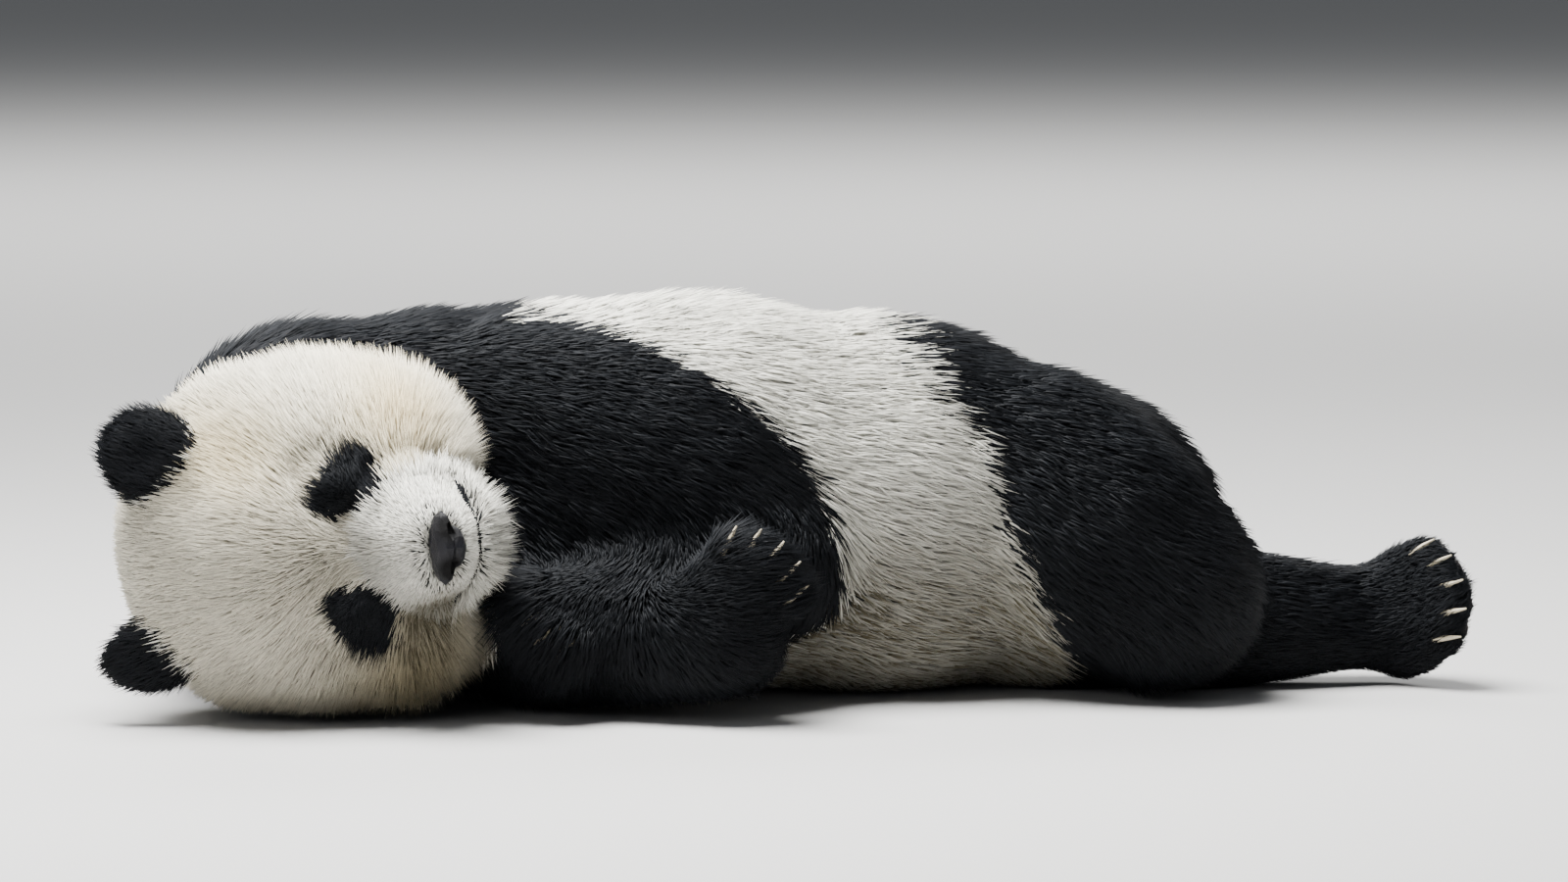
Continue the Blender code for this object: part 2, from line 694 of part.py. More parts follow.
def main():
    clear_scene()
    panda = collection("giant_panda")
    cutters = collection("cutters")
    feet = paws()
    rest = whole_body(feet, cutters)
    clear_of_body = grown(helper("body", rest.copy(), cutters), "body_grown", cutters)
    ears = {
        "left_ear": ear_mesh(LEFT_EAR_CENTRE, 1.0, 1.0, clear_of_body, cutters),
        "right_ear": ear_mesh(RIGHT_EAR_CENTRE, -1.0, EAR_SQUASH, clear_of_body, cutters),
    }
    for side in (1.0, -1.0):
        rest = boolean(rest, eye_hollow(side, cutters), "DIFFERENCE", "rest", cutters)
    fitted = fitted_pieces(feet, cutters)
    all_fitted = helper("all_fitted", joined(fitted.values(), "all_fitted"), cutters)
    rest = boolean(rest, grown(all_fitted, "all_fitted_grown", cutters), "DIFFERENCE", "rest", cutters)

    nodes = {}
    for name, region in regions(feet, cutters).items():
        larger = grown(region, "clear_" + name, cutters)
        nodes[name] = largest_body(boolean(rest.copy(), region, "INTERSECT", name, cutters))
        rest = boolean(rest, larger, "DIFFERENCE", "rest", cutters)
    along = Vector((-1.0, 0.0, 0.0))
    trunk_cuts = (("neck", NECK_CUT_X), ("chest", CHEST_CUT_X), ("belly", RUMP_CUT_X))
    for name, cut_x in trunk_cuts:
        pieces = parted(rest, Vector((cut_x, 0.0, 0.0)), along, (name, "rump"), cutters)
        nodes[name] = pieces[name]
        rest = pieces["rump"]
    nodes["rump"] = largest_body(rest)
    nodes.update(ears)
    nodes.update(fitted)
    centred(nodes.values())

    for name, mesh in nodes.items():
        add_object(name, mesh, panda)
        mesh.materials.clear()
        mesh.materials.append(finish_material(name, *finish_of(name)))
        mesh.shade_smooth()
        mesh.set_sharp_from_angle(angle=math.radians(40))


main()
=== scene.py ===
"""A giant panda asleep on its right side, at life size: its skin, coat, eyes, nose, claws and pads."""

import math

import bmesh
import bpy
import numpy as np
from mathutils import Matrix, Vector
from mathutils.bvhtree import BVHTree


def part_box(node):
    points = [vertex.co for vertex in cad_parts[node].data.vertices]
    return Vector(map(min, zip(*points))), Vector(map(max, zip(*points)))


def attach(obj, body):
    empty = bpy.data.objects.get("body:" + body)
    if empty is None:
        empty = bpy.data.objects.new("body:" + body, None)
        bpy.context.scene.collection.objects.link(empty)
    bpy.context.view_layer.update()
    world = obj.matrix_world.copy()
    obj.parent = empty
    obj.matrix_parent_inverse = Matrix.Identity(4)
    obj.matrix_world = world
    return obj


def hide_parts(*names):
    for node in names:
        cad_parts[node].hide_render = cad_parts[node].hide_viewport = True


bl_info = {
    "name": "Sleeping Giant Panda",
    "version": (1, 0, 0),
    "blender": (4, 5, 0),
    "location": "3D View > Sidebar > Panda",
    "description": "Builds the skin, coat and stage of a life-size giant panda asleep on its right side",
    "category": "Add Mesh",
}

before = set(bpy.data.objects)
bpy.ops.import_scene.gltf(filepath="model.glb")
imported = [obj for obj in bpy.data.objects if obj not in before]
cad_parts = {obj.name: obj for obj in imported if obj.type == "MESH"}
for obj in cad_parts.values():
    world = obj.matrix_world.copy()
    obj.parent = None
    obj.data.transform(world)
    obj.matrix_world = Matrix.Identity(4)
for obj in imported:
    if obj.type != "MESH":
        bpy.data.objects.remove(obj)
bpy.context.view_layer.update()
SIDES = (1.0, -1.0)  # the animal's left and right
TINY = 1e-9  # keeps a division from failing

EYE_NODES = ("left_eye", "right_eye")
EAR_NODES = ("left_ear", "right_ear")
FACE_NODES = ("head", "muzzle")
TRUNK_NODES = ("chest", "belly", "rump", "left_thigh", "right_thigh")
LEG_PARTS = {"foreleg": ("upper_arm", "forearm", "forepaw"), "hind_leg": ("thigh", "shank", "hind_foot")}
LEG_RUNS = {
    f"{side}_{leg}_coat": tuple(f"{side}_{part}" for part in parts)
    for leg, parts in LEG_PARTS.items()
    for side in ("left", "right")
}
BLACK_NODES = (*EAR_NODES, "neck", *(name for owners in LEG_RUNS.values() for name in owners))

# The way the coat lies on each part, as a direction in the body's frame
COAT_FLOW = {
    "neck": (1.0, 0.1, -0.15),
    "chest": (1.0, 0.0, -0.2),
    "belly": (1.0, 0.0, -0.22),
    "rump": (0.85, 0.15, -0.45),
    "tail": (0.55, 0.0, -0.85),
    "left_upper_arm": (0.88, -0.20, -0.28),
    "left_forearm": (-0.60, -0.30, -0.70),
    "left_forepaw": (-0.50, -0.30, -0.80),
    "right_upper_arm": (0.45, -0.15, -0.85),
    "right_forearm": (0.50, -0.10, -0.85),
    "right_forepaw": (0.92, -0.20, 0.18),
    "left_thigh": (0.82, -0.15, -0.50),
    "left_shank": (0.45, 0.60, -0.45),
    "left_hind_foot": (0.30, 0.90, -0.32),
    "right_thigh": (0.90, 0.0, -0.30),
    "right_shank": (0.95, 0.15, -0.10),
    "right_hind_foot": (0.50, -0.68, 0.38),
}
# How deep the coat is on each part, in metres, the same on both sides where no side is named
COAT_DEPTH = {
    "head": 0.0085,
    "muzzle": 0.0045,
    "ear": 0.006,
    "neck": 0.014,
    "chest": 0.015,
    "belly": 0.015,
    "rump": 0.015,
    "tail": 0.013,
    "upper_arm": 0.013,
    "forearm": 0.011,
    "forepaw": 0.008,
    "thigh": 0.014,
    "left_shank": 0.012,
    "right_shank": 0.011,
    "hind_foot": 0.008,
}
# Which parts each run of coat covers
COAT_RUNS = {
    "head_coat": ("head",),
    "muzzle_coat": ("muzzle",),
    "ear_coat": EAR_NODES,
    "neck_coat": ("neck",),
    "chest_coat": ("chest",),
    "belly_coat": ("belly",),
    "rump_coat": ("rump", "tail"),
    **LEG_RUNS,
}
SHORT_RUNS = ("head_coat", "muzzle_coat", "ear_coat")


# ---------------------------------------------------------------- head's frame

# Where the eyes and nose lie in the head's own frame: forward, up to the crown, out to the left
EYE_FORWARD = 0.113
EYE_UP = -0.026
EYE_OUT = 0.066
NOSE_FORWARD = 0.213
NOSE_UP = -0.096
# The head's centre in the body's own frame, in which every place along the body is given
HEAD_PLACE = Vector((-0.508, -0.250, 0.174))


def head_axes():
    """The head's centre, forward, up to the crown and out to the left, found from its eyes and nose."""
    left, right, nose = (sum(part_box(name), Vector()) / 2 for name in (*EYE_NODES, "nose"))
    middle = (left + right) / 2
    out = (left - right).normalized()
    ahead = nose - middle
    ahead = (ahead - ahead.project(out)).normalized()
    up = ahead.cross(out)
    tilt = math.atan2(NOSE_UP - EYE_UP, NOSE_FORWARD - EYE_FORWARD)
    forward = ahead * math.cos(tilt) - up * math.sin(tilt)
    crown = ahead * math.sin(tilt) + up * math.cos(tilt)
    centre = middle - forward * EYE_FORWARD - crown * EYE_UP
    return centre, forward, crown, out


HEAD_CENTRE, HEAD_FORWARD, HEAD_UP, HEAD_OUT = head_axes()
SHIFT = HEAD_CENTRE - HEAD_PLACE


def on_head(forward, up, out):
    return HEAD_CENTRE + HEAD_FORWARD * forward + HEAD_UP * up + HEAD_OUT * out


def head_coordinates(places):
    """How far forward, up and out to the left each place is from the head's centre."""
    away = places - np.array(HEAD_CENTRE)
    return np.stack([away @ np.array(axis) for axis in (HEAD_FORWARD, HEAD_UP, HEAD_OUT)], axis=1)


def eye_axis(side):
    """The centre of an eye, and the way it faces."""
    centre = on_head(EYE_FORWARD, EYE_UP, EYE_OUT * side)
    return centre, (centre - HEAD_CENTRE).normalized()


# ---------------------------------------------------------------- settings


def number_setting(name, about, default, **limits):
    return bpy.props.FloatProperty(name=name, description=about, default=default, **limits)


def length_setting(name, about, default):
    return number_setting(name, about, default, subtype="DISTANCE")


def angle_setting(name, about, degrees):
    return number_setting(name, about, math.radians(degrees), subtype="ANGLE")


def colour_setting(name, about, default):
    return bpy.props.FloatVectorProperty(
        name=name, description=about, default=default, size=3, subtype="COLOR"
    )


class PandaCoatSizes(bpy.types.PropertyGroup):
    density: number_setting("Tuft density", "Share of the full number of tufts", 1.0, min=0.01, max=1.0)
    body_tufts: number_setting("Body tufts", "Tufts on a square metre of the body", 132_000.0)
    face_tufts: number_setting("Face tufts", "Tufts on a square metre of the face", 270_000.0)
    body_width: length_setting("Body tuft width", "Half width of a tuft on the body", 0.00135)
    face_width: length_setting("Face tuft width", "Half width of a tuft on the face", 0.00085)
    lean: angle_setting("Lean", "How far the tufts stand off the skin", 25)
    stray: number_setting("Stray", "How far single tufts leave the lie of the coat", 0.22)
    clump: number_setting("Clump", "How far neighbouring tufts turn together", 0.55)
    seed: bpy.props.IntProperty(name="Seed", description="Seed of the coat", default=7)


class PandaColours(bpy.types.PropertyGroup):
    white: colour_setting("White coat", "Clean white fur", (0.93, 0.91, 0.81))
    cream: colour_setting("Cream coat", "Warm tint of the crown", (0.76, 0.63, 0.37))
    # The grey-brown of soiled fur, also used as painted shade low on the trunk and on the lower cheek
    soil_and_shade: colour_setting("Soiled coat", "Grey-brown of the belly", (0.120, 0.103, 0.066))
    black: colour_setting("Black coat", "Black fur", (0.0036, 0.0041, 0.0050))
    nose: colour_setting("Nose", "Leather of the nose", (0.0050, 0.0050, 0.0064))
    claw: colour_setting("Claws", "Horn of the claws", (0.62, 0.54, 0.38))
    eye: colour_setting("Eyes", "Brown of the eyes", (0.030, 0.014, 0.006))
    pad: colour_setting("Pads", "Leather of the soles", (0.030, 0.026, 0.025))


class PandaStage(bpy.types.PropertyGroup):
    floor: colour_setting("Floor", "Colour of the floor", (0.42, 0.415, 0.405))
    distance: length_setting("Camera distance", "Camera to the middle of the animal", 7.0)
    elevation: angle_setting("Camera elevation", "Camera above the horizon", 5)
    target_height: length_setting("Target height", "Height that the camera looks at", 0.2554)
    lens: number_setting("Lens", "Focal length in millimetres", 157.5)


GROUPS = {
    "panda_coat": PandaCoatSizes,
    "panda_colours": PandaColours,
    "panda_stage": PandaStage,
}
_built = {}  # what one step makes for the next


# ---------------------------------------------------------------- node helpers


def socket(sockets, key):
    """A socket by its number, or the one in use by its name."""
    if isinstance(key, int):
        return sockets[key]
    return next(found for found in sockets if found.name == key and found.enabled)


def add_node(tree, kind, values=None, **settings):
    """A node with its settings, and its inputs set or linked."""
    made = tree.nodes.new(kind)
    for name, value in settings.items():
        setattr(made, name, value)
    for key, value in (values or {}).items():
        target = socket(made.inputs, key)
        if isinstance(value, bpy.types.NodeSocket):
            tree.links.new(value, target)
        else:
            target.default_value = value
    return made


def maths(tree, operation, first, second=0.0):
    made = add_node(tree, "ShaderNodeMath", {0: first, 1: second}, operation=operation)
    return made.outputs[0]


def times(tree, first, second):
    return maths(tree, "MULTIPLY", first, second)


def plus(tree, first, second):
    return maths(tree, "ADD", first, second)


def rising(tree, value, start, rise):
    """A value's straight line: start where it is 0, and rise more where it is 1."""
    return plus(tree, start, times(tree, value, rise))


def vector_maths(tree, operation, first, second=None, scale=None):
    values = {0: first}
    if second is not None:
        values[1] = second
    if scale is not None:
        values["Scale"] = scale
    made = add_node(tree, "ShaderNodeVectorMath", values, operation=operation)
    return made.outputs["Value" if operation in ("DOT_PRODUCT", "LENGTH") else "Vector"]


def noise(tree, where, scale, detail):
    return add_node(tree, "ShaderNodeTexNoise", {"Vector": where, "Scale": scale, "Detail": detail})


def named(tree, name, kind="FLOAT"):
    made = add_node(tree, "GeometryNodeInputNamedAttribute", {"Name": name}, data_type=kind)
    return socket(made.outputs, "Attribute")


def drawn(tree, span, seed, step):
    """A number drawn for each tuft within a span, from its own step of the seed."""
    low, high = span
    values = {"Min": low, "Max": high, "Seed": plus(tree, seed, step)}
    return socket(add_node(tree, "FunctionNodeRandomValue", values, data_type="FLOAT").outputs, "Value")


def stored(tree, geometry, name, value, kind="FLOAT", domain="POINT"):
    values = {"Geometry": geometry, "Name": name, "Value": value}
    made = add_node(tree, "GeometryNodeStoreNamedAttribute", values, data_type=kind, domain=domain)
    return made.outputs["Geometry"]


# ---------------------------------------------------------------- mesh helpers


def read_values(source, key, width=3):
    """One row of values for each item of a mesh, read in one go."""
    values = np.empty(len(source) * width, np.float32)
    source.foreach_get(key, values)
    return values.reshape(-1, width)


def vertex_places(mesh):
    return read_values(mesh.vertices, "co").astype(np.float64)


def vertex_normals(mesh):
    return read_values(mesh.vertex_normals, "vector").astype(np.float64)


def move_vertices(mesh, places):
    mesh.vertices.foreach_set("co", places.astype(np.float32).ravel())


def mesh_edges(mesh):
    ends = np.empty(len(mesh.edges) * 2, np.int32)
    mesh.edges.foreach_get("vertices", ends)
    return ends.reshape(-1, 2)


def set_attribute(mesh, name, values, kind="FLOAT", domain="POINT"):
    layer = mesh.attributes.new(name, kind, domain)
    key = "vector" if kind == "FLOAT_VECTOR" else "value"
    layer.data.foreach_set(key, np.asarray(values, np.int32 if kind == "INT" else np.float32).ravel())


def relaxed(values, ends, rounds, keep=None):
    """Values averaged with their neighbours' along the edges, several times over."""
    values = np.array(values, float).reshape(len(values), -1)
    count = len(values)
    degree = np.bincount(ends.ravel(), minlength=count) + 1.0
    for _ in range(rounds):
        total = values.copy()
        for column in range(values.shape[1]):
            total[:, column] += np.bincount(ends[:, 0], values[ends[:, 1], column], count)
            total[:, column] += np.bincount(ends[:, 1], values[ends[:, 0], column], count)
        fresh = total / degree[:, None]
        values = fresh if keep is None else values + (fresh - values) * keep[:, None]
    return values.squeeze()


def link_piece(name, data):
    obj = bpy.data.objects.new(name, data)
    bpy.context.scene.collection.objects.link(obj)
    return obj


def evaluated_mesh(obj, name):
    """A plain mesh of what an object's modifiers make, the object itself being cleared away."""
    bpy.context.view_layer.update()
    graph = bpy.context.evaluated_depsgraph_get()
    mesh = bpy.data.meshes.new_from_object(obj.evaluated_get(graph))
    mesh.name = name
    bpy.data.objects.remove(obj, do_unlink=True)
    return mesh


def flesh_nodes():
    return [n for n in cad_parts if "claw" not in n and n != "nose" and not n.endswith("eye")]


def ball(form, size, matrix, detail=3):
    """A rounded mass added to a form."""
    made = bmesh.ops.create_icosphere(form, subdivisions=detail, radius=1.0)["verts"]
    bmesh.ops.scale(form, vec=Vector(size), verts=made)
    bmesh.ops.transform(form, matrix=matrix, verts=made)


def turned_to(place, first, second):
    """A place and turn: X the first way, and Y towards the second."""
    first = first.normalized()
    second = (second - second.project(first)).normalized()
    turn = Matrix((first, second, first.cross(second))).transposed().to_4x4()
    return Matrix.Translation(place) @ turn


def ease(values, low, high):
    """0 below low, 1 above high and a smooth step between."""
    share = np.clip((values - low) / (high - low), 0.0, 1.0)
    return share * share * (3.0 - 2.0 * share)


def spot(*spans):
    """1 at the middle of a soft spot, falling to 0 round it: values, middle and reach along each way."""
    return np.exp(-sum(((values - middle) / reach) ** 2 for values, middle, reach in spans))


def lessened(least, share):
    """What is left of a whole: least where share is 0, all of it where share is 1."""
    return least + (1.0 - least) * share


# ---------------------------------------------------------------- skin's form

SEAM_REACH = 0.0015  # how far each part swells to close the thin cuts between them
WELD_REACH = 0.00002  # points nearer than this are one
SKIN_VOXEL = 0.0066  # the grid on which the parts are joined into one form
SKIN_SMOOTHING = 0.5
SKIN_ROUNDS = 8
# The ball under each pair of lids, and the wider fill round it
LID_RADIUS = 0.0142
SOCKET_SIZE = (0.012, 0.023, 0.023)
SOCKET_LIFT = 0.006
# The front of the head, which has smaller faces, and the lids and mouth, which have the smallest
FRONT_FORWARD = 0.02
FRONT_REACH = 0.175
LIDS_FORWARD = 0.08
LIDS_REACH = 0.024
LIPS_FORWARD = 0.09
LIPS_UP = (-0.175, -0.10)
LIPS_OUT = 0.09


def whole_skin():
    """The flesh parts as one closed form, their cuts closed and the eye hollows filled to their lids."""
    form = bmesh.new()
    for name in flesh_nodes():
        form.from_mesh(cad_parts[name].data)
    bmesh.ops.remove_doubles(form, verts=form.verts, dist=WELD_REACH)
    for side in SIDES:
        centre, out = eye_axis(side)
        ball(form, (LID_RADIUS,) * 3, Matrix.Translation(centre))
        ball(form, SOCKET_SIZE, turned_to(centre + out * SOCKET_LIFT, out, HEAD_UP))
    mesh = bpy.data.meshes.new("skin_parts")
    form.to_mesh(mesh)
    form.free()
    obj = link_piece("skin_parts", mesh)
    swell = obj.modifiers.new("swell", "DISPLACE")
    swell.strength = SEAM_REACH
    swell.mid_level = 0.0
    close = obj.modifiers.new("close", "REMESH")
    close.mode = "VOXEL"
    close.voxel_size = SKIN_VOXEL
    even = obj.modifiers.new("even", "SMOOTH")
    even.factor = SKIN_SMOOTHING
    even.iterations = SKIN_ROUNDS
    return evaluated_mesh(obj, "panda_skin")


def front_places(places):
    """Which places lie on the front of the head."""
    return (places[:, 0] > FRONT_FORWARD) & (np.linalg.norm(places[:, 1:], axis=1) < FRONT_REACH)


def fine_places(places):
    """Which places lie by the lids and the mouth."""
    forward, up, out = places.T
    near_eye = (np.abs(np.abs(out) - EYE_OUT) < LIDS_REACH) & (np.abs(up - EYE_UP) < LIDS_REACH)
    near_mouth = (up > LIPS_UP[0]) & (up < LIPS_UP[1]) & (np.abs(out) < LIPS_OUT)
    return (near_eye & (forward > LIDS_FORWARD)) | (near_mouth & (forward > LIPS_FORWARD))


def refined(mesh):
    """The skin with smaller faces over the front of the head, and again over the lids and the mouth."""
    form = bmesh.new()
    form.from_mesh(mesh)
    for chosen in (front_places, fine_places):
        form.verts.ensure_lookup_table()
        near = chosen(head_coordinates(np.array([vert.co for vert in form.verts])))
        faces = [face for face in form.faces if all(near[vert.index] for vert in face.verts)]
        edges = list(dict.fromkeys(edge for face in faces for edge in face.edges))
        bmesh.ops.subdivide_edges(form, edges=edges, cuts=1, use_grid_fill=True)
    form.to_mesh(mesh)
    form.free()


# ---------------------------------------------------------------- points of the skin

# How near a claw the coat changes, and how long it is over the claws of each foot
CLAW_NEAR = (0.018, 0.038)
CLAW_FRINGE = {
    "left_forepaw": 0.042,
    "right_forepaw": 0.028,
    "left_hind_foot": 0.024,
    "right_hind_foot": 0.019,
}
# Where the top of the trunk dips, and the skin comes nearer to the tips of a longer coat
LOIN_PLACE = 0.058
LOIN_REACH = 0.032
LOIN_HEIGHT = (0.28, 0.34)
FACE_SMOOTHED = (0.0, 0.04)  # the span over which the face is smoothed again
FACE_ROUNDS = 2


def nearest_parts(names, places):
    """The number of the flesh part that each place is nearest to."""
    corners, faces, owner = [], [], []
    for number, name in enumerate(names):
        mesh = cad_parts[name].data
        first = len(corners)
        corners += [vert.co.copy() for vert in mesh.vertices]
        faces += [[first + index for index in face.vertices] for face in mesh.polygons]
        owner += [number] * len(mesh.polygons)
    tree = BVHTree.FromPolygons(corners, faces)
    return np.array([owner[tree.find_nearest(place)[2]] for place in places])


def near_claws(places):
    """How near each place is to a claw, from 0 to 1, and how long the coat is there."""
    nearness = np.zeros(len(places))
    fringe = np.zeros(len(places))
    for foot, wanted in CLAW_FRINGE.items():
        claws = [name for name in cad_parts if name.startswith(foot + "_claw")]
        middles = np.array([sum(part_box(name), Vector()) / 2 for name in claws])
        reach = np.min([np.linalg.norm(places - middle, axis=1) for middle in middles], axis=0)
        near = 1.0 - ease(reach, *CLAW_NEAR)
        fringe = np.where(near > nearness, wanted, fringe)
        nearness = np.maximum(near, nearness)
    return nearness, fringe


class Surface:
    """The skin's points before the coat's depth is taken off, from which all of the coat is worked out."""

    def __init__(self, mesh):
        self.ends = mesh_edges(mesh)
        rough = vertex_places(mesh)
        on_face = ease(head_coordinates(rough)[:, 0], *FACE_SMOOTHED)
        self.places = relaxed(rough, self.ends, FACE_ROUNDS, on_face)
        move_vertices(mesh, self.places)
        self.normals = vertex_normals(mesh)
        self.names = flesh_nodes()
        self.parts = nearest_parts(self.names, self.places)
        # The places in the head's own frame, then in the body's
        self.forward, self.up, self.out = head_coordinates(self.places).T
        self.breadth = np.abs(self.out)
        self.x, self.y, self.z = (self.places - np.array(SHIFT)).T
        self.face = self.on(*FACE_NODES)
        self.clawed, self.fringe = near_claws(self.places)
        self.loin = spot((self.x, LOIN_PLACE, LOIN_REACH)) * ease(self.z, *LOIN_HEIGHT)

    def on(self, *names):
        """Which points belong to the named parts."""
        return np.isin(self.parts, [self.names.index(name) for name in names])

    def by_part(self, table, default=0.0):
        """One value for each point, from a table of values by part, with or without its side."""
        either = [name.removeprefix("left_").removeprefix("right_") for name in self.names]
        values = [table.get(name, table.get(part, default)) for name, part in zip(self.names, either)]
        return np.array(values, float)[self.parts]


# ---------------------------------------------------------------- lie of the coat

LIE_ROUNDS = 60
FACE_START = (NOSE_FORWARD - 0.01, NOSE_UP + 0.005, 0.0)  # the coat of the face runs away from here
FACE_LIE = (-0.07, 0.03)  # forward, from where the coat runs to the nape to where it runs from the nose
NAPE_PLACE = Vector((-0.485, -0.020, 0.193))  # where the coat of the back of the head runs to
EAR_ROOT = (0.0, 0.05, 0.07)  # the coat of an ear runs away from here


def laid_flat(ways, normals):
    """The ways as unit directions along the skin."""
    flat = ways - normals * np.sum(ways * normals, axis=1)[:, None]
    return flat / (np.linalg.norm(flat, axis=1)[:, None] + TINY)


def coat_lie(skin):
    """The direction in which the coat lies at each place, along the skin."""
    flow = skin.by_part(COAT_FLOW, (0.0, 0.0, 0.0))
    away = laid_flat(skin.places - np.array(on_head(*FACE_START)), skin.normals)
    back = np.array(NAPE_PLACE + SHIFT) - skin.places
    back /= np.linalg.norm(back, axis=1)[:, None]
    ahead = ease(skin.forward, *FACE_LIE)[:, None]
    flow[skin.face] = (away * ahead + back * (1.0 - ahead))[skin.face]
    forward, up, out = EAR_ROOT
    for name, side in zip(EAR_NODES, SIDES):
        low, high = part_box(name)
        outward = np.array(low + high) / 2 - np.array(on_head(forward, up, out * side))
        flow[skin.on(name)] = outward / np.linalg.norm(outward)
    return laid_flat(relaxed(flow, skin.ends, LIE_ROUNDS), skin.normals)


# ---------------------------------------------------------------- face

# The mouth: where its line runs, how far it turns up at the ends, its half width and its groove's reach
MOUTH_UP = -0.143
MOUTH_CURVE = 0.010
MOUTH_HALF = 0.078
MOUTH_REACH = 0.0035
MOUTH_CORNER = (-0.012, 0.004)  # from the end of the mouth, over which its groove fades
MOUTH_GAP = 0.0038  # half the width of the dark line between the lips
# The groove from the nose to the mouth: its reach, how far forward it begins, and how it fades at its ends
PHILTRUM_REACH = 0.0022
PHILTRUM_FORWARD = 0.12
PHILTRUM_LOW = 0.008
PHILTRUM_TOP = 0.012
# The muzzle: its middle, its half sizes up and across, and the middle and reach of the crease round it
MUZZLE_UP = -0.100
MUZZLE_REACH = (0.056, 0.066)
MUZZLE_EDGE = (1.12, 0.13)
FACE_FRONT = (0.05, 0.09)  # how far forward the carving begins
# Where the left cheek is filled by the crease, outwards from the middle and down to the chin
FILLED_OUT = (0.0, 0.03)
FILLED_UP = -0.16
EYE_RING = (0.032, 0.010)  # middle and reach of the hollow round an eye
# The slit between the lids: its place on the ball of the lids, its bow, reach and depth
LID_EDGE = 0.006
LID_FACING = 0.25
SLIT_BOW = 0.10
SLIT_PLACE = -0.0015
SLIT_REACH = 0.0011
SLIT_DEPTH = 0.0022
# Soft spots of the face: how far forward they begin, and their middle and reach up and out
FACE_SPOTS = {
    "bridge": (0.05, (-0.045, 0.035), (0.0, 0.028)),
    "forehead": (0.0, (0.03, 0.06), (0.0, 0.07)),
    "whiskers": (0.05, (-0.108, 0.030), (-0.074, 0.034)),
    "crown": (-1.0, (0.06, 0.05), (0.10, 0.05)),
    "cheeks": (-1.0, (-0.10, 0.05), (0.12, 0.05)),
    "lips": (0.13, (-0.124, 0.013), (0.026, 0.017)),
    "stops": (-1.0, (-0.030, 0.024), (0.030, 0.014)),
}
# How far the skin of the face is moved in, or out for the lips and the cheek, in metres
FACE_CARVE = {
    "mouth": 0.0065,
    "philtrum": 0.0025,
    "muzzle_edge": 0.0028,
    "stops": 0.0035,
    "lips": 0.0030,
    "cheek_fill": 0.0100,
    "eye_ring": 0.0018,
}


def mouth_line(out):
    """How far up the mouth runs at each place across the face."""
    return MOUTH_UP + MOUTH_CURVE * (out / MOUTH_HALF) ** 2


def face_spot(skin, name, out):
    """How near each place is to the middle of one of the soft spots, from 0 to 1."""
    start, up_span, out_span = FACE_SPOTS[name]
    return spot((skin.up, *up_span), (out, *out_span)) * (skin.forward > start)


def carve_face(skin, places):
    """Shapes the skin of the face: the hollows round the eyes, the muzzle's edge, lips, mouth and lids."""
    up, out, carve = skin.up, skin.out, FACE_CARVE
    front = ease(skin.forward, *FACE_FRONT)
    groove = spot((up - mouth_line(out), 0.0, MOUTH_REACH)) * (skin.forward > LIPS_FORWARD)
    groove *= 1.0 - ease(skin.breadth, *(MOUTH_HALF + corner for corner in MOUTH_CORNER))
    philtrum = spot((out, 0.0, PHILTRUM_REACH)) * (skin.forward > PHILTRUM_FORWARD)
    above_lip = ease(up, MOUTH_UP, MOUTH_UP + PHILTRUM_LOW)
    philtrum *= above_lip * (1.0 - ease(up, NOSE_UP - PHILTRUM_TOP, NOSE_UP))
    ring = np.hypot(out / MUZZLE_REACH[1], (up - MUZZLE_UP) / MUZZLE_REACH[0])
    edge = spot((ring, *MUZZLE_EDGE)) * front
    lips = face_spot(skin, "lips", skin.breadth)
    stops = face_spot(skin, "stops", skin.breadth) * front
    inward = carve["mouth"] * groove + carve["philtrum"] * philtrum + carve["muzzle_edge"] * edge
    inward += carve["stops"] * stops - carve["lips"] * lips
    inward -= carve["cheek_fill"] * edge * ease(out, *FILLED_OUT) * (up > FILLED_UP)
    for side in SIDES:
        reach = np.linalg.norm(places - np.array(eye_axis(side)[0]), axis=1)
        inward += carve["eye_ring"] * spot((reach, *EYE_RING)) * front
    places = places - skin.normals * inward[:, None]
    for side in SIDES:
        places = closed_lids(skin, places, side)
    return places


def closed_lids(skin, places, side):
    """The places with the slit between one eye's lids drawn in."""
    centre, axis = eye_axis(side)
    away = places - np.array(centre)
    reach = np.linalg.norm(away, axis=1)
    towards = (away @ np.array(axis)) / (reach + TINY)
    near = (reach < LID_RADIUS + LID_EDGE) & (towards > LID_FACING)
    rise = away @ np.array(HEAD_UP) + SLIT_BOW * np.abs(away @ np.array(HEAD_OUT))
    slit = spot((rise, SLIT_PLACE, SLIT_REACH)) * near
    return places - skin.normals * (SLIT_DEPTH * slit)[:, None]


# ---------------------------------------------------------------- markings

# The black patch round each eye: its middle up and out, its slant and its half sizes
PATCH_PLACE = {1.0: (-0.034, 0.062), -1.0: (-0.040, 0.068)}
PATCH_SLANT = math.radians(38)
PATCH_LENGTH = 0.041
PATCH_WIDTH = 0.028
PATCH_EDGE = (0.75, 1.25)
PATCH_FORWARD = 0.03
# The curve of the black shoulder over the flank, along and up, and how high and how far back it begins
SHOULDER_PLACE = (-0.296, 0.150)
SHOULDER_REACH = (0.345, 0.240)
SHOULDER_EDGE = (0.96, 1.04)
SHOULDER_BLEND = 0.02
ARM_HEIGHT = (0.17, 0.22)
ARM_BACK = (0.02, 0.08)
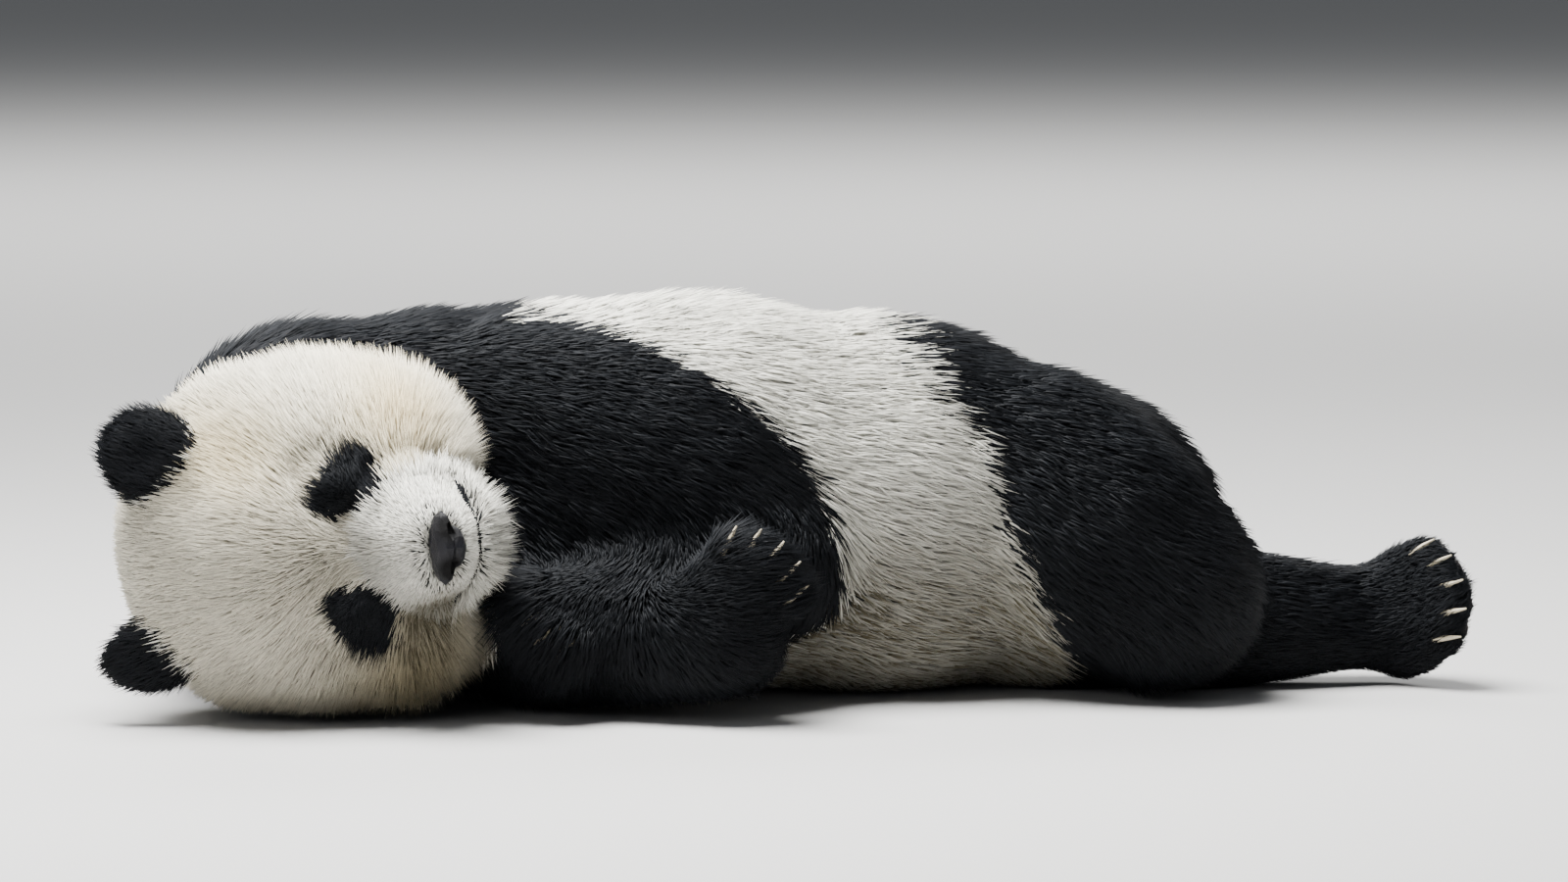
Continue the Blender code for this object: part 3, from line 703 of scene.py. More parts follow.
# The front edge of the black hip, and how far it reaches over the back
HIP_EDGE = 0.280
HIP_SLOPE = 0.36
HIP_RIDGE = 0.045  # how much farther forward the black reaches along the ridge
RIDGE_HEIGHT = (0.27, 0.37)
HIP_BLEND = 0.022  # half the width over which white turns to black, low down
HIP_TOP_BLEND = 0.050  # and how much more over the back
TOP_HEIGHT = (0.24, 0.37)
HIP_BACK = 0.150  # how far over the back the black of the hip reaches, at its top
HIP_TOP = 0.30
HIP_LEAN = 0.12  # and how much farther for each metre below
BACK_BLEND = 0.025
BACK_WAVE = 0.010  # how far the edge over the back wanders
BACK_WAVES = 34.0
TONE_ROUNDS = 3
# The black under the chin
THROAT_DOWN = (0.196, 0.208)
THROAT_OUT = -0.06
# The dark hairs along the mouth, and round the upper rim of the nose
MOUTH_FADE = 0.030
LINE_EDGE = (0.4, 1.3)  # of the half width of the line between the lips
HAIRS_DOWN = -0.002
HAIRS_REACH = 0.007
HAIRS_TONE = 0.36
NOSE_RIM = (0.026, 0.044)
NOSE_RIM_UP = 0.004
NOSE_RIM_EDGE = (0.85, 1.20)
NOSE_RIM_FORWARD = 0.17
NOSE_RIM_TONE = 0.34


def eye_patch(skin, side):
    """How far inside the black patch round an eye each place is: over 0.5 is black."""
    patch_up, patch_out = PATCH_PLACE[side]
    above = skin.up - patch_up
    beyond = skin.out * side - patch_out
    along = -above * math.cos(PATCH_SLANT) + beyond * math.sin(PATCH_SLANT)
    across = above * math.sin(PATCH_SLANT) + beyond * math.cos(PATCH_SLANT)
    reach = np.sqrt((along / PATCH_LENGTH) ** 2 + (across / PATCH_WIDTH) ** 2)
    return (1.0 - ease(reach, *PATCH_EDGE)) * (skin.forward > PATCH_FORWARD)


def face_lines(skin):
    """The dark hairs scattered along the mouth and round the upper rim of the nose."""
    above = skin.up - mouth_line(skin.out)
    fade = 1.0 - ease(skin.breadth, MOUTH_HALF - MOUTH_FADE, MOUTH_HALF)
    lips = skin.forward > LIPS_FORWARD
    line = (1.0 - ease(np.abs(above), *(share * MOUTH_GAP for share in LINE_EDGE))) * lips * fade
    hairs = spot((above, HAIRS_DOWN, HAIRS_REACH)) * lips * fade
    rim = np.hypot((skin.up - NOSE_UP - NOSE_RIM_UP) / NOSE_RIM[0], skin.out / NOSE_RIM[1])
    fuzz = (1.0 - ease(rim, *NOSE_RIM_EDGE)) * (skin.forward > NOSE_RIM_FORWARD)
    return np.maximum(line, np.maximum(NOSE_RIM_TONE * fuzz, HAIRS_TONE * hairs))


def hip_tone(skin):
    """How black the hip is: behind an edge that leans, and wanders where it crosses the back."""
    x, y, z = skin.x, skin.y, skin.z
    edge = HIP_EDGE - HIP_SLOPE * z - HIP_RIDGE * ease(z, *RIDGE_HEIGHT)
    blend = HIP_BLEND + HIP_TOP_BLEND * ease(z, *TOP_HEIGHT)
    over_back = y - HIP_BACK - HIP_LEAN * (HIP_TOP - z) - BACK_WAVE * np.sin(BACK_WAVES * x)
    return ease((x - edge) / blend, -1.0, 1.0) * (1.0 - ease(over_back, -BACK_BLEND, BACK_BLEND))


def markings(skin):
    """How black the coat is, from 0 to 1: by part, but by the shoulder's and hip's edges on the trunk."""
    tone = skin.by_part({name: 1.0 for name in BLACK_NODES})
    along = (skin.x - SHOULDER_PLACE[0]) / SHOULDER_REACH[0]
    above = (skin.z - SHOULDER_PLACE[1]) / SHOULDER_REACH[1]
    arm = 1.0 - ease(np.hypot(along, above), *SHOULDER_EDGE)
    ahead = 1.0 - ease(skin.x, SHOULDER_PLACE[0] - SHOULDER_BLEND, SHOULDER_PLACE[0] + SHOULDER_BLEND)
    upper = ease(skin.z, *ARM_HEIGHT) * (1.0 - ease(skin.y, *ARM_BACK))
    trunk = skin.on(*TRUNK_NODES)
    tone[trunk] = np.maximum(np.maximum(ahead, arm * upper), hip_tone(skin))[trunk]
    over = skin.on("left_upper_arm")
    tone[over] = np.maximum(arm, ahead)[over]
    tone = relaxed(tone, skin.ends, TONE_ROUNDS)
    throat = ease(-skin.up, *THROAT_DOWN) * (skin.out < THROAT_OUT)
    for dark in (eye_patch(skin, 1.0), eye_patch(skin, -1.0), face_lines(skin), throat):
        tone = np.maximum(tone, dark * skin.face)
    return tone


# ---------------------------------------------------------------- tints of the white, soil and painted shade

# Where the trunk is grey-brown low down, up from the floor and back from the belly: soiled fur, and painted
# shade under the trunk
SOIL_SHADE_HEIGHT = (0.06, 0.31)
SOIL_SHADE_BACK = (0.0, 0.18)
# Where the head is grey-brown, and how much: soiled fur, and painted shade on the lower cheek and the whisker
# pads
SOIL_SHADE_CHEEK_OUT = (-0.14, -0.03)
SOIL_SHADE_CHEEK_UP = (-0.10, 0.05)
SOIL_SHADE_CHIN_UP = (-0.19, -0.13)
SOIL_SHADE_SHARES = {"bridge": 0.26, "forehead": 0.10, "lower_cheek": 0.85, "whiskers": 1.20, "chin": 0.20}
# How warm the white of the head is all over, and how much more on the crown and the cheeks
WARM_HEAD = 0.34
WARM_CROWN = 0.5
WARM_CHEEKS = 0.6


def soil_and_painted_shade(skin):
    """Where the white coat is grey-brown, as soiled fur and as painted shade: low on the belly and the lower
    cheek.
    """
    low = 1.0 - ease(skin.z, *SOIL_SHADE_HEIGHT)
    front = 1.0 - ease(skin.y, *SOIL_SHADE_BACK)
    spots = {name: face_spot(skin, name, skin.out) for name in ("bridge", "forehead", "whiskers")}
    spots["lower_cheek"] = (1.0 - ease(skin.out, *SOIL_SHADE_CHEEK_OUT)) * (1.0 - ease(skin.up, *SOIL_SHADE_CHEEK_UP))
    spots["chin"] = 1.0 - ease(skin.up, *SOIL_SHADE_CHIN_UP)
    on_face = sum(share * spots[name] for name, share in SOIL_SHADE_SHARES.items())
    return np.clip(low * front * skin.on(*TRUNK_NODES) + skin.face * on_face, 0.0, 1.0)


def warmth(skin):
    """Where the white coat has a warm tint: the upper side of the crown and the cheeks."""
    crown = face_spot(skin, "crown", skin.out)
    cheeks = face_spot(skin, "cheeks", skin.breadth)
    return np.clip(skin.on("head") * (WARM_HEAD + WARM_CROWN * crown + WARM_CHEEKS * cheeks), 0.0, 1.0)


# ---------------------------------------------------------------- depth, length and stand of the coat

DEPTH_ROUNDS = 10
# What is left of the coat's depth at the eyes, the nose and the floor, and how far off it is whole again
EYE_DEPTH = 0.35
EYE_CLEAR = (0.014, 0.045)
NOSE_DEPTH = 0.40
NOSE_CLEAR = (0.03, 0.09)
FLOOR_DEPTH = 0.12
FLOOR_CLEAR = (0.0, 0.035)
# How much deeper the coat is low on the head, and at the chin
JOWL_DEPTH = 0.5
JOWL_UP = (-0.18, -0.05)
CHIN_DEPTH = 0.010
CHIN_UP = (-0.195, -0.155)
CHIN_OUT = (0.045, 0.085)
# How much shallower the coat is on the loin and by a claw, and how long it is on the loin
LOIN_RISE = 0.15
LOIN_LENGTH = 0.036
CLAW_RISE = 0.55
TOE_RISE = 0.75  # how much higher the tufts over the claws stand
TOE_FRINGE = (0.018, 0.035)  # from the length at which they don't to the length at which they do
# The length of the tufts, against the coat's depth, and at its least
LENGTH_SHARE = 2.5
LEAST_LENGTH = 0.007
CHIN_FRINGE = 0.025  # the length of the tufts at the chin, and the most on the head
LIP_LENGTH = 0.0030  # and at the very edge of the upper lip
LIP_GROWTH = 0.55  # and how much longer they are for each metre above it
LIP_ABOVE = 0.018
LIP_CORNER = 0.016
FULL_LENGTH = 0.15  # how much longer the tufts are on the cheeks and chin
CROWN_LENGTH = 0.30  # and how much shorter on the crown
# The spans over which each region of the head begins
CHEEK_OUT = (0.055, 0.125)
CHEEK_UP = (0.01, 0.09)
JAW_OUT = (0.050, 0.080)
JAW_UP = (-0.145, -0.105)
JAW_SHARE = 0.7
LOWER_CHIN_UP = (-0.178, -0.152)
CROWN_UP = (0.05, 0.14)
# How far the tufts of the head stand off the skin, against those of the body
FACE_STAND = 0.85
FULL_STAND = 0.65
CHIN_STAND = 0.35
CROWN_STAND = -0.15


def coat_depths(skin):
    """The depth of the coat at each place: least at the floor and round the eyes and nose."""
    depth = relaxed(skin.by_part(COAT_DEPTH), skin.ends, DEPTH_ROUNDS)
    bare = [(eye_axis(side)[0], EYE_DEPTH, EYE_CLEAR) for side in SIDES]
    bare.append((on_head(NOSE_FORWARD, NOSE_UP, 0.0), NOSE_DEPTH, NOSE_CLEAR))
    for centre, least, clear in bare:
        reach = np.linalg.norm(skin.places - np.array(centre), axis=1)
        depth = np.where(skin.face, depth * lessened(least, ease(reach, *clear)), depth)
    depth = np.where(skin.face, depth * (1.0 + JOWL_DEPTH * (1.0 - ease(skin.up, *JOWL_UP))), depth)
    chin = (1.0 - ease(skin.up, *CHIN_UP)) * (1.0 - ease(skin.breadth, *CHIN_OUT))
    depth = np.where(skin.face, depth + CHIN_DEPTH * chin, depth)
    depth = depth * (1.0 - LOIN_RISE * skin.loin) * (1.0 - CLAW_RISE * skin.clawed)
    return depth * lessened(FLOOR_DEPTH, ease(skin.places[:, 2], *FLOOR_CLEAR))


def head_regions(skin):
    """The fullest parts of the head's coat, its crown and its chin, each from 0 to 1."""
    cheek = ease(skin.breadth, *CHEEK_OUT) * (1.0 - ease(skin.up, *CHEEK_UP))
    jaw = ease(skin.breadth, *JAW_OUT) * (1.0 - ease(skin.up, *JAW_UP)) * (skin.forward > 0.0)
    chin = np.maximum(1.0 - ease(skin.up, *LOWER_CHIN_UP), JAW_SHARE * jaw)
    crown = ease(skin.up, *CROWN_UP)
    full = np.clip(np.maximum(cheek, chin) - crown, 0.0, 1.0)
    return full * skin.face, crown * skin.face, chin * skin.face


def coat_stand(skin, lean):
    """How far the tufts stand off the skin: least on the crown, most on the cheeks, chin and claws."""
    full, crown, chin = head_regions(skin)
    stand = lean * (FACE_STAND + FULL_STAND * full + CHIN_STAND * chin + CROWN_STAND * crown)
    stand = np.where(skin.face, stand, lean)
    return stand * (1.0 + TOE_RISE * skin.clawed * ease(skin.fringe, *TOE_FRINGE))


def coat_length(skin, depth):
    """The length of the tufts at each place."""
    full, crown, chin = head_regions(skin)
    length = np.maximum(depth * LENGTH_SHARE, LEAST_LENGTH)
    length = np.where(skin.on(*FACE_NODES, *EAR_NODES), np.minimum(length, CHIN_FRINGE), length)
    length = length * (1.0 + FULL_LENGTH * full - CROWN_LENGTH * crown)
    length = length + (LOIN_LENGTH - length) * skin.loin
    for share, wanted in ((chin, CHIN_FRINGE), (skin.clawed, skin.fringe)):
        length = length + (np.maximum(wanted, length) - length) * share
    above = skin.up - mouth_line(skin.out)
    lip = (above > -MOUTH_GAP) & (above < LIP_ABOVE) & (skin.forward > LIPS_FORWARD)
    lip &= skin.breadth < MOUTH_HALF - LIP_CORNER
    short = LIP_LENGTH + LIP_GROWTH * np.maximum(above - MOUTH_GAP, 0.0)
    return np.where(lip, np.minimum(length, short), length)


# ---------------------------------------------------------------- pads

# The hind feet: their centre, and the ways that the toes and the upper side face
SOLES = {
    "left_hind_foot": ((0.452, 0.152, 0.084), (0.36, 0.88, -0.30), (0.75, -0.20, 0.45)),
    "right_hind_foot": ((0.645, 0.040, 0.078), (0.50, -0.68, 0.38), (-0.82, -0.57, 0.0)),
}
# The bare pads of a sole, first the broad one: forward, outward and half sizes along each, in metres
PADS = (
    (0.018, 0.0, 0.021, 0.044),
    (0.057, -0.047, 0.010, 0.009),
    (0.070, -0.024, 0.011, 0.009),
    (0.075, 0.0, 0.011, 0.009),
    (0.070, 0.024, 0.011, 0.009),
    (0.057, 0.047, 0.010, 0.009),
)
PAD_THICKNESS = 0.006
PAD_LIFT = 0.0035  # how far a pad's middle stands out of the skin
PAD_DETAIL = 4
PAD_EDGE = (0.75, 1.05)
SOLE_DOWN = 0.035  # from a foot's middle to near its sole
SOLE_REACH = 0.12
UNDER_FOOT = -0.3  # a normal's share of the way up of the foot, at most, where a sole is bare
UNDER_PAD = -0.2  # and where a pad is set


def sole_axes(foot):
    """The centre of a foot, and the ways its toes, its outer side and its upper side face."""
    place, forward, upper = (Vector(values) for values in SOLES[foot])
    forward.normalize()
    upper = (upper - upper.project(forward)).normalized()
    return place + SHIFT, forward, upper.cross(forward), upper


def on_pads(skin, foot):
    """1 where a foot's sole is bare, 0 where it is furred."""
    centre, forward, out, upper = (np.array(axis) for axis in sole_axes(foot))
    away = skin.places - centre
    under = (skin.normals @ upper < UNDER_FOOT) & (np.linalg.norm(away, axis=1) < SOLE_REACH)
    bare = np.zeros(len(away))
    for ahead, aside, long, wide in PADS:
        reach = np.hypot((away @ forward - ahead) / long, (away @ out - aside) / wide)
        bare = np.maximum(bare, 1.0 - ease(reach, *PAD_EDGE))
    return bare * under


def build_pads():
    """The bare pads of the hind soles, set into the skin."""
    skin = _built["skin"].data
    corners = [vert.co for vert in skin.vertices]
    tree = BVHTree.FromPolygons(corners, [face.vertices for face in skin.polygons])
    form = bmesh.new()
    for foot in SOLES:
        centre, forward, out, upper = sole_axes(foot)
        for ahead, aside, long, wide in PADS:
            start = centre + forward * ahead + out * aside - upper * SOLE_DOWN
            touched, normal, _, _ = tree.find_nearest(start)
            if normal.dot(upper) < UNDER_PAD:
                matrix = turned_to(touched + normal * PAD_LIFT, normal, forward)
                ball(form, (PAD_THICKNESS, long, wide), matrix, PAD_DETAIL)
    mesh = bpy.data.meshes.new("foot_pads")
    form.to_mesh(mesh)
    form.free()
    mesh.shade_smooth()
    return link_piece("foot_pads", mesh)


# ---------------------------------------------------------------- skin

# Where the skin is pressed to the floor, which has no tufts, and the lowest that the skin goes
PRESSED_HEIGHT = 0.004
PRESSED_NORMAL = -0.6
SKIN_FLOOR = 0.0005
# From the back of the head to its front: the back has a share of the face's tufts, and wider ones
HEAD_FRONT = (-0.04, 0.04)
BACK_TUFTS = 0.5
BACK_WIDTH = 0.5
# The feet, against the body: their tufts' width and number, and how many more are over the claws
FOOT_WIDTH = 0.65
FOOT_TUFTS = 1.6
CLAW_TUFTS = 0.5
UNWRAP_ANGLE = math.radians(66)
UNWRAP_GAP = 0.002
UNWRAP_RIM = 0.003
MOST_TUFT_FACES = 180_000  # in one piece of the coat
LONG_TUFT_FACES = 6
SHORT_TUFT_FACES = 4


def tuft_cover(skin, sizes):
    """How many tufts there are on a square metre at each place, and half of a tuft's width."""
    head = skin.on(*FACE_NODES, *EAR_NODES)
    feet = skin.on(*CLAW_FRINGE)
    front = head * ease(skin.forward, *HEAD_FRONT)
    on_head_coat = BACK_TUFTS * sizes.face_tufts + (1.0 - BACK_TUFTS) * sizes.face_tufts * front
    density = np.where(head, on_head_coat, sizes.body_tufts)
    pressed = (skin.places[:, 2] < PRESSED_HEIGHT) & (skin.normals[:, 2] < PRESSED_NORMAL)
    density = np.where(pressed, 0.0, density)
    for foot in SOLES:
        density = density * (1.0 - on_pads(skin, foot))
    density = np.where(feet, (FOOT_TUFTS + CLAW_TUFTS * skin.clawed) * density, density)
    width = np.where(head, sizes.face_width * (1.0 + BACK_WIDTH * (1.0 - front)), sizes.body_width)
    return density, np.where(feet, FOOT_WIDTH * sizes.body_width, width)


def split_coat(mesh, skin, density):
    """Gives every face the number of its piece of coat, so that no piece has too many tufts."""
    areas = read_values(mesh.polygons, "area", 1)[:, 0]
    along = read_values(mesh.polygons, "center")[:, 0]
    first = np.array([face.vertices[0] for face in mesh.polygons])
    tufts = areas * density[first]
    pieces = np.zeros(len(first), np.int32)
    found = []
    for run, owners in COAT_RUNS.items():
        inside = skin.on(*owners)[first]
        faces = SHORT_TUFT_FACES if run in SHORT_RUNS else LONG_TUFT_FACES
        share = int(np.ceil(tufts[inside].sum() * faces / MOST_TUFT_FACES))
        order = np.argsort(along[inside], kind="stable")
        filled = np.cumsum(tufts[inside][order])
        numbers = np.empty(len(order), int)
        numbers[order] = np.minimum((filled / filled[-1] * share).astype(int), share - 1)
        pieces[inside] = numbers + len(found) + 1
        found += [(run, f"{run}_{n + 1}" if share > 1 else run) for n in range(share)]
    return pieces, found


def unwrap(obj):
    """Lays the whole skin out flat, each face once, with a rim round the sheet."""
    bpy.ops.object.select_all(action="DESELECT")
    bpy.context.view_layer.objects.active = obj
    obj.select_set(True)
    bpy.ops.object.mode_set(mode="EDIT")
    bpy.ops.mesh.select_all(action="SELECT")
    bpy.ops.uv.smart_project(angle_limit=UNWRAP_ANGLE, island_margin=UNWRAP_GAP)
    bpy.ops.object.mode_set(mode="OBJECT")
    layer = obj.data.uv_layers.active
    layer.name = "OFBake"
    corners = read_values(layer.uv, "vector", 2)
    layer.uv.foreach_set("vector", (UNWRAP_RIM + corners * (1.0 - 2.0 * UNWRAP_RIM)).ravel())


def build_skin(sizes):
    """The skin, under the depth of its coat, with all that the coat grows by kept at its points."""
    mesh = whole_skin()
    refined(mesh)
    skin = Surface(mesh)
    depth = coat_depths(skin)
    density, width = tuft_cover(skin, sizes)
    looks = {
        "skin_tone": markings(skin),
        "skin_soil": soil_and_painted_shade(skin),
        "skin_warm": warmth(skin),
        "skin_length": coat_length(skin, depth),
        "skin_width": width,
        "skin_lean": coat_stand(skin, sizes.lean),
        "skin_density": density,
    }
    inner = carve_face(skin, skin.places - skin.normals * depth[:, None])
    inner[:, 2] = np.maximum(inner[:, 2], SKIN_FLOOR)
    move_vertices(mesh, inner)
    mesh.update()
    set_attribute(mesh, "skin_lie", coat_lie(skin), "FLOAT_VECTOR")
    for name, values in looks.items():
        set_attribute(mesh, name, values)
    pieces, _built["pieces"] = split_coat(mesh, skin, density * sizes.density)
    set_attribute(mesh, "skin_piece", pieces, "INT", "FACE")
    mesh.shade_smooth()
    _built["skin"] = link_piece("panda_skin", mesh)
    unwrap(_built["skin"])
    return _built["skin"]


# ---------------------------------------------------------------- tufts

TUFT_THICKNESS = 0.022  # as a share of its length
ROOT_DEPTH = -0.06  # how far a long tuft's root lies under the skin, as a share of its length
LONG_WIDEST = 0.38  # how far up a long tuft is widest, as a share of its length
LONG_BEND = 0.13  # how far its tip bends back
TUFT_PATCH = 0.003  # how wide each tuft's own patch is on the skin's unwrap

NOISE_MIDDLE = 0.5
WAVE_DETAIL = 2.0
LOCK_SHARE = 3.4  # how much finer the locks are than the waves of the coat
LOCK_DETAIL = 1.0
LEAN_SPREAD = (0.65, 1.30)  # how far single tufts lie flatter or stand higher than their neighbours
WIDTH_SPREAD = (0.75, 1.25)
TONE_SPREAD = (-0.5, 0.5)
SHADE_SPREAD = (0.0, 1.0)
BLACK_OVER = 0.5  # a tuft is black where the skin's tone is over this
LEAST_HEIGHT = 0.0004  # no hair goes under the floor

COAT_INPUTS = (
    ("Geometry", "NodeSocketGeometry"),
    ("Tuft", "NodeSocketObject"),
    ("Piece", "NodeSocketInt"),
    ("Density", "NodeSocketFloat"),
    ("Seed", "NodeSocketInt"),
    ("Stray", "NodeSocketFloat"),
    ("Clump Strength", "NodeSocketFloat"),
    ("Clump Scale", "NodeSocketFloat"),
    ("Length Spread", "NodeSocketFloat"),
    ("Border Softness", "NodeSocketFloat"),
    ("Patch", "NodeSocketFloat"),
    ("Material", "NodeSocketMaterial"),
)


def scattered_points(tree, given):
    """The points of one piece of the coat, and the skin's normal at each."""
    values = {"A": named(tree, "skin_piece", "INT"), "B": given["Piece"]}
    chosen = add_node(tree, "FunctionNodeCompare", values, data_type="INT", operation="EQUAL").outputs[0]
    density = times(tree, named(tree, "skin_density"), given["Density"])
    values = {"Mesh": given["Geometry"], "Selection": chosen, "Density": density, "Seed": given["Seed"]}
    scatter = add_node(tree, "GeometryNodeDistributePointsOnFaces", values)
    return scatter.outputs["Points"], scatter.outputs["Normal"]


def wave(tree, where, scale, detail, strength):
    """A smooth turn of the coat's lie, to one side and the other."""
    cloud = noise(tree, where, scale, detail).outputs["Color"]
    turned = vector_maths(tree, "SUBTRACT", cloud, (NOISE_MIDDLE,) * 3)
    return vector_maths(tree, "SCALE", turned, scale=strength)


def tuft_turn(tree, given, normal):
    """How each tuft is turned: along the lie of the coat, with waves, locks and strays, and off the skin."""
    where = tree.nodes.new("GeometryNodeInputPosition").outputs[0]
    strength = given["Clump Strength"]
    waves = wave(tree, where, given["Clump Scale"], WAVE_DETAIL, strength)
    locks = wave(tree, where, times(tree, given["Clump Scale"], LOCK_SHARE), LOCK_DETAIL, strength)
    values = {"Min": (-1, -1, -1), "Max": (1, 1, 1), "Seed": given["Seed"]}
    loose = add_node(tree, "FunctionNodeRandomValue", values, data_type="FLOAT_VECTOR")
    loose = vector_maths(tree, "SCALE", socket(loose.outputs, "Value"), scale=given["Stray"])
    bent = vector_maths(tree, "ADD", waves, locks)
    along = vector_maths(tree, "ADD", named(tree, "skin_lie", "FLOAT_VECTOR"), bent)
    along = vector_maths(tree, "ADD", along, loose)
    rise = vector_maths(tree, "DOT_PRODUCT", along, normal)
    flat = vector_maths(tree, "SUBTRACT", along, vector_maths(tree, "SCALE", normal, scale=rise))
    flat = vector_maths(tree, "NORMALIZE", flat)
    lean = times(tree, named(tree, "skin_lean"), drawn(tree, LEAN_SPREAD, given["Seed"], 1))
    ahead = vector_maths(tree, "SCALE", flat, scale=maths(tree, "COSINE", lean))
    upward = vector_maths(tree, "SCALE", normal, scale=maths(tree, "SINE", lean))
    values = {"Primary Axis": vector_maths(tree, "ADD", ahead, upward), "Secondary Axis": normal}
    turn = add_node(tree, "FunctionNodeAxesToRotation", values, primary_axis="Z", secondary_axis="X")
    return turn.outputs[0]


def tuft_size(tree, given):
    """Each tuft's length and width, uneven from one to the next."""
    spread = given["Length Spread"]
    span = (maths(tree, "SUBTRACT", 1.0, spread), plus(tree, 1.0, spread))
    length = times(tree, named(tree, "skin_length"), drawn(tree, span, given["Seed"], 2))
    width = times(tree, named(tree, "skin_width"), drawn(tree, WIDTH_SPREAD, given["Seed"], 3))
    return add_node(tree, "ShaderNodeCombineXYZ", {"X": length, "Y": width, "Z": length}).outputs[0]


def with_looks(tree, given, points, normal):
    """The points with all that their tufts' finish, shading and place on the unwrap are made from."""
    soft = times(tree, drawn(tree, TONE_SPREAD, given["Seed"], 4), given["Border Softness"])
    dark = maths(tree, "GREATER_THAN", plus(tree, named(tree, "skin_tone"), soft), BLACK_OVER)
    points = stored(tree, points, "coat_black", dark)
    points = stored(tree, points, "coat_shade", drawn(tree, SHADE_SPREAD, given["Seed"], 5))
    points = stored(tree, points, "coat_soil", named(tree, "skin_soil"))
    points = stored(tree, points, "coat_warm", named(tree, "skin_warm"))
    points = stored(tree, points, "coat_root", named(tree, "OFBake", "FLOAT_VECTOR"), "FLOAT_VECTOR")
    return stored(tree, points, "coat_normal", normal, "FLOAT_VECTOR")


def above_floor(tree, geometry):
    """The tufts, with what would go under the floor lifted to just over it."""
    where = tree.nodes.new("GeometryNodeInputPosition").outputs[0]
    place = add_node(tree, "ShaderNodeSeparateXYZ", {0: where}).outputs
    height = maths(tree, "MAXIMUM", place[2], LEAST_HEIGHT)
    lifted = add_node(tree, "ShaderNodeCombineXYZ", {0: place[0], 1: place[1], 2: height}).outputs[0]
    return add_node(tree, "GeometryNodeSetPosition", {"Geometry": geometry, "Position": lifted}).outputs[0]


def coat_tree():
    """Tufts over one piece of the skin: scattered, turned along the coat's lie, and joined as one mesh."""
    tree = bpy.data.node_groups.new("panda_coat_tufts", "GeometryNodeTree")
    for name, kind in COAT_INPUTS:
        tree.interface.new_socket(name, in_out="INPUT", socket_type=kind)
    tree.interface.new_socket("Geometry", in_out="OUTPUT", socket_type="NodeSocketGeometry")
    given = tree.nodes.new("NodeGroupInput").outputs

    points, normal = scattered_points(tree, given)
    tuft = add_node(tree, "GeometryNodeObjectInfo", {"Object": given["Tuft"]})
    values = {
        "Points": with_looks(tree, given, points, normal),
        "Instance": tuft.outputs["Geometry"],
        "Rotation": tuft_turn(tree, given, normal),
        "Scale": tuft_size(tree, given),
    }
    tufts = add_node(tree, "GeometryNodeInstanceOnPoints", values).outputs[0]
    for name in ("skin_*", "OFBake"):
        values = {"Geometry": tufts, "Name": name}
        cleared = add_node(tree, "GeometryNodeRemoveAttribute", values, pattern_mode="WILDCARD")
        tufts = cleared.outputs["Geometry"]
    tufts = add_node(tree, "GeometryNodeRealizeInstances", {"Geometry": tufts}).outputs[0]
    tufts = above_floor(tree, tufts)
    patch = vector_maths(tree, "SCALE", named(tree, "tuft_place", "FLOAT_VECTOR"), scale=given["Patch"])
    patch = vector_maths(tree, "ADD", named(tree, "coat_root", "FLOAT_VECTOR"), patch)
    tufts = stored(tree, tufts, "OFBake", patch, "FLOAT2", "CORNER")
    values = {"Geometry": tufts, "Material": given["Material"]}
    finished = add_node(tree, "GeometryNodeSetMaterial", values).outputs[0]
    tree.links.new(finished, tree.nodes.new("NodeGroupOutput").inputs[0])
    return tree


def tuft_object(name, widest, bend):
    """One tuft: a thin closed spindle along Z, widest part of the way up, its tip bent back along -X."""
    mesh = bpy.data.meshes.new(name)
    form = bmesh.new()
    ring = []
    for corner in range(3):
        angle = math.tau * corner / 3
        place = (bend * widest + TUFT_THICKNESS * math.cos(angle), math.sin(angle), widest)
        ring.append(form.verts.new(place))
    tip = form.verts.new((-bend, 0.0, 1.0))
    for n in range(3):
        form.faces.new((ring[n], ring[(n + 1) % 3], tip))
    if widest:
        root = form.verts.new((0.0, 0.0, ROOT_DEPTH))
        for n in range(3):
            form.faces.new((ring[(n + 1) % 3], ring[n], root))
    else:
        form.faces.new(reversed(ring))
    form.to_mesh(mesh)
    form.free()
    places = vertex_places(mesh)
    across, along = places[:, 1], places[:, 2]
    patch = np.stack([across / 2, along - 0.5, np.zeros(len(places))], axis=1)  # half of it to each side
    set_attribute(mesh, "tuft_place", patch, "FLOAT_VECTOR")
    set_attribute(mesh, "coat_along", along)
    return link_piece(name, mesh)


# ---------------------------------------------------------------- coat

# The tufts of the face and ears, and those of the body: clump strength, clump scale and length spread
SHORT_TUFTS = (0.6, 45.0, 0.42)
LONG_TUFTS = (1.0, 26.0, 0.34)
BORDER_SOFTNESS = 0.70
SEED_STEP = 10  # from one piece of the coat to the next, as each draws from several seeds
NORMAL_SHARE = 0.38  # how far a tuft's shading follows the skin under it
SPARE_ATTRIBUTES = ("coat_root", "tuft_place", "coat_normal")


def lean_on_skin(mesh):
    """Shades the tufts partly as the skin they grow from, so that the coat reads as one soft surface."""
    root = read_values(mesh.attributes["coat_normal"].data, "vector")
    mixed = vertex_normals(mesh) * (1.0 - NORMAL_SHARE) + root * NORMAL_SHARE
    mixed /= np.linalg.norm(mixed, axis=1)[:, None] + TINY
    mesh.normals_split_custom_set_from_vertices(mixed.tolist())


